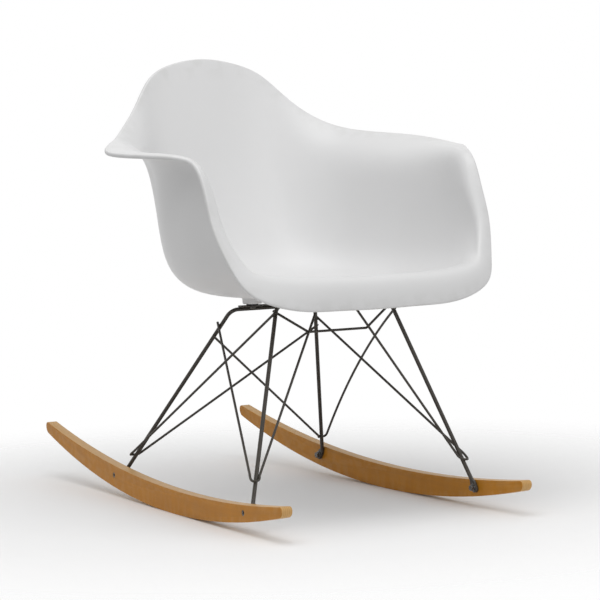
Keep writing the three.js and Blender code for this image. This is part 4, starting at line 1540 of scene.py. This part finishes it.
@dataclass
class MountHardware:
    """Pads, screws and inserts of both mounts."""

    mounts: list[ShellMount]

    @staticmethod
    def pad() -> bpy.types.Object:
        """Rubber ring with soft edges; z = 0 is its underside."""
        inner, outer, t, c = SCREW_HOLE_R, 10.0 * MM, 2.0 * MM, 0.5 * MM
        profile = [
            (inner, c), (inner + c, 0.0), (outer - c, 0.0), (outer - c * 0.3, c * 0.3), (outer, c),
            (outer, t - c), (outer - c * 0.3, t - c * 0.3), (outer - c, t), (inner + c, t), (inner, t - c),
            (inner, c),
        ]
        return shade(lathe("pad", profile, 56), 50.0)

    @staticmethod
    def screw() -> bpy.types.Object:
        """Pan-head screw with a cross recess; z = 0 is the strap side of its head, shank up."""
        low, high, head, shank = 3.8 * MM, 4.8 * MM, 3.0 * MM, 2.4 * MM
        profile = [
            (0.6 * MM, -head), (low * 0.7, -head + 0.12 * MM), (low * 0.9, -head + 0.45 * MM),
            (low + 0.35 * MM, -head + 1.0 * MM), (high - 0.1 * MM, -head + 1.9 * MM), (high, -0.7 * MM),
            (high - 0.1 * MM, -0.1 * MM), (high - 0.3 * MM, 0.0), (shank + 0.2 * MM, 0.0), (shank, 0.3 * MM),
            (shank, 11.2 * MM), (shank * 0.6, 12.0 * MM),
        ]
        body = lathe("screw", profile, 48)
        cutters = []
        for turn in (0.0, math.pi / 2):
            half_x, half_y, deep = 2.1 * MM, 0.55 * MM, 1.7 * MM
            corners = [
                (sx * half_x * k, sy * half_y * k, z)
                for z, k in ((-head - MM, 1.15), (-head + deep, 0.72))
                for sx, sy in ((-1, -1), (1, -1), (1, 1), (-1, 1))
            ]
            sides = [(i, (i + 1) % 4, 4 + (i + 1) % 4, 4 + i) for i in range(4)]
            blade = outward(mesh_object("cutter", corners, [(3, 2, 1, 0), (4, 5, 6, 7), *sides]))
            blade.data.transform(Matrix.Rotation(turn, 4, "Z"))
            cutters.append(blade)
        carve(body, cutters)
        return shade(outward(body), 35.0)

    @staticmethod
    def insert() -> bpy.types.Object:
        """Knurled threaded insert; z = 0 is its mouth and it runs up +Z."""
        r, bore, long = 4.6 * MM, 2.7 * MM, 7.0 * MM
        edge, groove, mouth = 0.3 * MM, 0.35 * MM, 0.4 * MM
        profile = [(bore, long), (r - edge, long), (r, long - edge)]
        for z in (5.2 * MM, 3.6 * MM, 2.0 * MM):
            profile += [(r, z + edge), (r - groove, z), (r, z - edge)]
        profile += [(r, edge), (r - edge, 0.0), (bore + mouth, 0.0), (bore, mouth), (bore, long)]
        return shade(lathe("insert", profile, 48), 40.0)

    def build(self, tools: NodeTools, finishes: Finishes) -> None:
        """Copy each small piece to the four screw axes.

        Args:
            tools: the geometry node trees.
            finishes: every material.
        """
        level = Euler((0.0, 0.0, 0.4))
        kinds = (
            ("mount_pads", "mount_pad", self.pad(), Slot.RUBBER, lambda m: m.pad_low),
            ("mount_screws", "mount_screw", self.screw(), Slot.FASTENER, lambda m: m.strap_low - GAP),
            ("boss_inserts", "boss_insert", self.insert(), Slot.BRASS, lambda m: m.boss_low),
        )
        for name, stem, piece, slot, height in kinds:
            places = [(spot, level) for mount in self.mounts for spot in mount.spots(height(mount))]
            copies = tools.copies_piece(name, piece, places, finishes[slot])
            FootHardware.mark_corners(copies)
            finish_piece(copies, slot, finishes, [n for mount in self.mounts for n in mount.nodes(stem)])


# ---------- shell ----------

# Rails of the shell's upper surface in millimetres, from the middle of the back round the sitter's
# left to the middle of the front lip: floor rim, low wall, high wall, bend and rim.
STATIONS = [
    [[0, 62, 352], [0, 112, 420], [0, 152, 545], [0, 188, 690], [0, 201, 735]],
    [[48, 58, 352], [52, 108, 420], [57, 148, 545], [59, 186, 684], [61, 197, 726]],
    [[92, 48, 352], [100, 94, 422], [105, 132, 540], [108, 172, 662], [109, 182, 702]],
    [[127, 25, 354], [139, 63, 424], [141, 93, 528], [144, 135, 622], [153, 150, 654]],
    [[154, -4, 355], [170, 21, 426], [171, 40, 520], [175, 71, 589], [211, 88, 613]],
    [[175, -44, 355], [196, -29, 428], [198, -24, 515], [203, -17, 590], [275, -16, 599]],
    [[195, -92, 355], [217, -86, 430], [221, -82, 512], [226, -79, 593], [316, -90, 585]],
    [[202, -140, 356], [228, -140, 432], [232, -140, 510], [241, -142, 591], [296, -166, 579]],
    [[203, -186, 358], [232, -194, 434], [236, -200, 508], [236, -205, 584], [263, -228, 574]],
    [[201, -222, 361], [230, -236, 434], [231, -244, 502], [228, -253, 562], [248, -269, 556]],
    [[196, -250, 364], [225, -268, 430], [228, -281, 478], [225, -287, 514], [246, -295, 508]],
    [[188, -272, 367], [218, -292, 420], [224, -304, 446], [226, -315, 465], [245, -316, 457]],
    [[172, -290, 370], [203, -316, 404], [211, -330, 415], [214, -338, 420], [231, -342, 402]],
    [[146, -300, 371], [176, -332, 392], [187, -350, 396], [196, -362, 388], [206, -366, 363]],
    [[100, -304, 370], [118, -338, 386], [124, -362, 388], [134, -378, 372], [142, -381, 341]],
    [[50, -305, 369], [58, -340, 384], [60, -364, 386], [64, -380, 370], [70, -382, 337]],
    [[0, -305, 368], [0, -340, 383], [0, -364, 385], [0, -380, 369], [0, -382, 336]],
]


@dataclass
class SeatShell:
    """The one-piece moulding: a curved wall with a thick round lip and four bosses."""

    mounts: list[ShellMount]
    thick: float = 5.0 * MM
    lip: float = 7.0 * MM
    lip_from: float = 0.90
    around: int = 320
    out: int = 72
    pole: tuple[float, float, float] = (0.0, -0.120, 0.346)
    boss_low_r: float = 16.0 * MM
    boss_high_r: float = 21.0 * MM
    fillet: float = 5.0 * MM

    @staticmethod
    def controls_through(points: np.ndarray) -> np.ndarray:
        """Control points whose closed uniform cubic B-spline passes through the given points."""
        controls = points.copy()
        for _ in range(60):
            controls = (6 * points - np.roll(controls, 1, 0) - np.roll(controls, -1, 0)) / 4
        return controls

    def rail(self, points: np.ndarray) -> np.ndarray:
        """A closed rail sampled at every spoke."""
        controls = self.controls_through(points)
        count = len(points)
        u = np.arange(self.around) / self.around * count
        first = np.floor(u).astype(int)
        t = (u - first)[:, None]
        weights = [(1 - t) ** 3, 3 * t**3 - 6 * t**2 + 4, -3 * t**3 + 3 * t**2 + 3 * t + 1, t**3]
        return sum(w / 6 * controls[(first - 1 + k) % count] for k, w in enumerate(weights))

    def spoke_weights(self) -> np.ndarray:
        """Weights of a spoke's seven controls at each ring: a clamped cubic B-spline."""
        knots = [0, 0, 0, 0, 1, 2, 3, 4, 4, 4, 4]
        rows = []
        for r in range(self.out + 1):
            u = min(4 * r / self.out, 4 - 1e-9)
            basis = [1.0 if knots[i] <= u < knots[i + 1] else 0.0 for i in range(10)]
            for degree in range(1, 4):
                nexts = []
                for i in range(10 - degree):
                    end, after = knots[i + degree], knots[i + degree + 1]
                    rising = self.blend(basis[i], u - knots[i], end - knots[i])
                    nexts.append(rising + self.blend(basis[i + 1], after - u, after - knots[i + 1]))
                basis = nexts
            rows.append(basis)
        return np.array(rows)

    @staticmethod
    def blend(value: float, part: float, whole: float) -> float:
        """One term of the B-spline recursion, zero where knots coincide."""
        return value * part / whole if whole else 0.0

    def surface(self) -> tuple[np.ndarray, np.ndarray]:
        """Rings of points of the upper surface and their normals on the sitter's side."""
        stations = np.array(STATIONS, float) * MM
        sides = stations[-2:0:-1] * np.array([-1, 1, 1])
        loop = np.concatenate([stations, sides])
        rails = [self.rail(loop[:, k]) for k in range(loop.shape[1])]
        pole = np.tile(np.array(self.pole), (self.around, 1))
        flat = (pole + rails[0]) / 2
        flat[:, 2] = self.pole[2]
        controls = np.stack([pole, flat, *rails])
        rings = np.einsum("rc,cak->rak", self.spoke_weights(), controls)
        around = np.roll(rings, -1, 1) - np.roll(rings, 1, 1)
        outwards = np.empty_like(rings)
        outwards[1:-1] = rings[2:] - rings[:-2]
        outwards[0] = rings[1] - rings[0]
        outwards[-1] = rings[-1] - rings[-2]
        normals = np.cross(around, outwards)
        normals[0] = (0, 0, 1)
        normals /= np.linalg.norm(normals, axis=2, keepdims=True)
        return rings, normals

    def wall(self) -> bpy.types.Object:
        """The closed wall with its round lip, and its edge attribute."""
        rings, normals = self.surface()
        share = np.linspace(0, 1, self.out + 1)
        grow = np.array([smooth((s - self.lip_from) / (1 - self.lip_from)) for s in share])
        depth = self.thick + (self.lip - self.thick) * grow
        under = rings - normals * depth[:, None, None]
        outward_dir = rings[-1] - rings[-2]
        outward_dir -= normals[-1] * np.sum(outward_dir * normals[-1], axis=1, keepdims=True)
        outward_dir /= np.linalg.norm(outward_dir, axis=1, keepdims=True)
        middle = (rings[-1] + under[-1]) / 2
        half = depth[-1] / 2
        turns = [math.pi / 2 - math.pi * k / 12 for k in range(1, 12)]
        reach = 0.8 * half  # how far the rounded rim stands out
        bead = [middle + normals[-1] * half * math.sin(a) + outward_dir * reach * math.cos(a) for a in turns]
        layers = [*rings[1:], *bead, *under[:0:-1]]
        ring_edge = [smooth((s - 0.93) / 0.07) for s in share[1:]]
        edge = [0.0, *np.repeat([*ring_edge, *[1.0] * len(bead), *ring_edge[::-1]], self.around), 0.0]
        points = [rings[0][0], *np.concatenate(layers), under[0][0]]
        n, last = self.around, len(points) - 1
        faces = []
        for a in range(n):
            b = (a + 1) % n
            faces.append((0, 1 + a, 1 + b))
            base = 1 + (len(layers) - 1) * n
            faces.append((base + b, base + a, last))
            for k in range(len(layers) - 1):
                low, high = 1 + k * n, 1 + (k + 1) * n
                faces.append((low + a, high + a, high + b, low + b))
        shell = mesh_object("shell_moulding", points, faces)
        set_attribute(shell, "edge", np.array(edge))
        return shell

    def boss(self, tree: BVHTree, spot: Vector) -> bpy.types.Object:
        """A tapered boss whose foot flares into the wall above it, with a pocket for the insert.

        Args:
            tree: the wall's surface.
            spot: the middle of the boss's underside.

        Returns:
            The boss.
        """
        sides, steps, sink = 64, 20, 1.5 * MM
        pocket_r, pocket = 4.7 * MM, 7.3 * MM
        round_off = 1.5 * MM
        rings = []
        for radius, height in ((pocket_r, pocket), (pocket_r, 0.0), (self.boss_low_r - round_off, 0.0)):
            rings.append([spot + self.polar(radius, i / sides, height) for i in range(sides)])
        for k in (0.3, 0.7):
            angle = k * math.pi / 2
            radius = self.boss_low_r - round_off * (1 - math.sin(angle))
            height = round_off * (1 - math.cos(angle))
            rings.append([spot + self.polar(radius, i / sides, height) for i in range(sides)])
        for step in range(steps + 1):
            share = step / steps
            taper = (self.boss_high_r - self.boss_low_r) / 2
            radius = self.boss_low_r + taper * share + self.fillet * share**5
            ring = []
            for i in range(sides):
                foot = spot + self.polar(radius, i / sides, 0.0)
                hit = tree.ray_cast(foot, Vector((0, 0, 1)))[0]
                top = (hit.z if hit else spot.z + 0.03) + sink
                start = spot.z + round_off
                ring.append(Vector((foot.x, foot.y, start + (top - start) * share**0.85)))
            rings.append(ring)
        points = [p for ring in rings for p in ring]
        faces = [tuple(range(sides)), tuple(reversed(range((len(rings) - 1) * sides, len(rings) * sides)))]
        for k in range(len(rings) - 1):
            for i in range(sides):
                j = (i + 1) % sides
                faces.append((k * sides + i, k * sides + j, (k + 1) * sides + j, (k + 1) * sides + i))
        return outward(mesh_object("boss", points, faces))

    @staticmethod
    def polar(radius: float, turn: float, height: float) -> Vector:
        """A vector from a radius, a share of a turn and a height."""
        angle = 2 * math.pi * turn
        return Vector((radius * math.cos(angle), radius * math.sin(angle), height))

    def build(self, finishes: Finishes) -> bpy.types.Object:
        """Make the wall, fuse the bosses to it and dress it.

        Args:
            finishes: every material.

        Returns:
            The shell.
        """
        shell = self.wall()
        work = bmesh.new()
        work.from_mesh(shell.data)
        tree = BVHTree.FromBMesh(work)
        work.free()
        spots = [spot for mount in self.mounts for spot in mount.spots(mount.boss_low)]
        bosses = [self.boss(tree, spot) for spot in spots]
        carve(shell, bosses, join=True)
        shade(shell, 40.0, weighted=False)
        return finish_piece(shell, Slot.SHELL, finishes, ["seat_shell"])


# ---------- studio ----------


@dataclass
class Studio:
    """Pale floor, soft lights and the camera."""

    camera_at: tuple[float, float, float] = (-1.9184, -3.6085, 0.6111)
    yaw: float = 28.860  # degrees to the right of +Y
    pitch: float = -3.974
    roll: float = -1.489
    lens: float = 147.265
    sensor: float = 36.0

    def camera(self) -> None:
        """Place the camera."""
        data = bpy.data.cameras.new("camera")
        data.lens = self.lens
        data.sensor_width = self.sensor
        data.clip_end = 100.0
        camera = bpy.data.objects.new("camera", data)
        turn = Matrix.Rotation(math.radians(-self.yaw), 4, "Z")
        tilt = Matrix.Rotation(math.radians(90 + self.pitch), 4, "X")
        bank = Matrix.Rotation(math.radians(self.roll), 4, "Z")
        camera.matrix_world = Matrix.Translation(self.camera_at) @ turn @ tilt @ bank
        bpy.context.scene.collection.objects.link(camera)
        bpy.context.scene.camera = camera

    def light(self, name: str, at: tuple[float, float, float], size: float, power: float) -> None:
        """Add a square soft light that faces the chair."""
        data = bpy.data.lights.new(name, "AREA")
        data.size = size
        data.energy = power
        lamp = bpy.data.objects.new(name, data)
        lamp.location = at
        lamp.rotation_euler = (Vector((0, 0, 0.4)) - Vector(at)).to_track_quat("-Z", "Y").to_euler()
        bpy.context.scene.collection.objects.link(lamp)

    def world(self) -> None:
        """A white surround that lights the chair less than it shows."""
        world = bpy.data.worlds.new("studio")
        world.use_nodes = True
        graph = Graph(world.node_tree)
        back = next(n for n in graph.tree.nodes if n.type == "BACKGROUND")
        path = graph.add("ShaderNodeLightPath")
        seen = graph.math("MAXIMUM", path.outputs["Is Camera Ray"], path.outputs["Is Glossy Ray"])
        level = graph.add("ShaderNodeMapRange", Value=seen, To_Min=0.43, To_Max=1.0).outputs["Result"]
        graph.feed(back.inputs["Strength"], level)
        back.inputs["Color"].default_value = (1.0, 1.0, 1.0, 1.0)
        bpy.context.scene.world = world

    def floor(self) -> None:
        """A pale floor that fades into the surround."""
        half = 40.0
        corners = [(-half, -half, 0.0), (half, -half, 0.0), (half, half, 0.0), (-half, half, 0.0)]
        floor = mesh_object("studio_floor", corners, [(0, 1, 2, 3)])
        material = bpy.data.materials.new("pale_floor")
        material.use_nodes = True
        shader = next(n for n in material.node_tree.nodes if n.type == "BSDF_PRINCIPLED")
        shader.inputs["Base Color"].default_value = (0.96, 0.96, 0.96, 1.0)
        shader.inputs["Roughness"].default_value = 0.7
        graph = Graph(material.node_tree)
        place = graph.add("ShaderNodeTexCoord").outputs["Object"]
        distance = graph.add("ShaderNodeVectorMath", {"operation": "LENGTH"}, in_0=place).outputs["Value"]
        fade = graph.ramp(distance, 0.35, 1.15)
        clear = graph.add("ShaderNodeBsdfTransparent").outputs[0]
        mixed = graph.add("ShaderNodeMixShader", in_0=fade, in_1=shader.outputs[0], in_2=clear).outputs[0]
        sink = next(n for n in graph.tree.nodes if n.type == "OUTPUT_MATERIAL")
        graph.feed(sink.inputs["Surface"], mixed)
        floor.data.materials.append(material)

    def build(self) -> None:
        """Set up everything round the chair."""
        self.camera()
        self.light("top_softbox", (-0.6, -0.6, 3.0), 2.4, 42.0)
        self.light("front_fill", (0.2, -3.6, 1.9), 2.4, 27.0)
        self.world()
        self.floor()
        bpy.context.scene.view_settings.view_transform = "Standard"


# ---------- the chair ----------


def main() -> None:
    """Build every sub-assembly in order."""
    logging.basicConfig(level=logging.INFO, format="%(name)s: %(message)s")
    Studio().build()
    finishes = Finishes()
    tools = NodeTools()
    rockers = {side: Rocker(side) for side in Side}
    rear = BentFrame(
        end=End.REAR,
        bar_y=-0.036,
        bar_z=0.319,
        bar_x=0.0786,
        ankle=(0.150, 0.046),
        bolt=(0.1584, 0.036),
        rockers=rockers,
    )
    front = BentFrame(
        end=End.FRONT,
        bar_y=-0.2363,
        bar_z=0.338,
        bar_x=0.1019,
        ankle=(-0.322, 0.044),
        bolt=(-0.3292, 0.033),
        rockers=rockers,
    )
    feet = [bent.foot(side) for bent in (rear, front) for side in Side]
    for side, rocker in rockers.items():
        rocker.build(finishes, [foot for foot in feet if foot.side is side])
    rear.build(finishes)
    front.build(finishes)
    FootHardware(feet, rockers).build(tools, finishes)
    Braces(rear, front).build(tools, finishes)
    mounts = [
        ShellMount(frame=rear, x=0.044, screw_y=-0.009, strap_half=0.066),
        ShellMount(frame=front, x=0.062, screw_y=0.009, strap_half=0.080),
    ]
    for mount in mounts:
        mount.build_strap(finishes)
    MountHardware(mounts).build(tools, finishes)
    SeatShell(mounts).build(finishes)


if __name__ == "__main__":
    main()
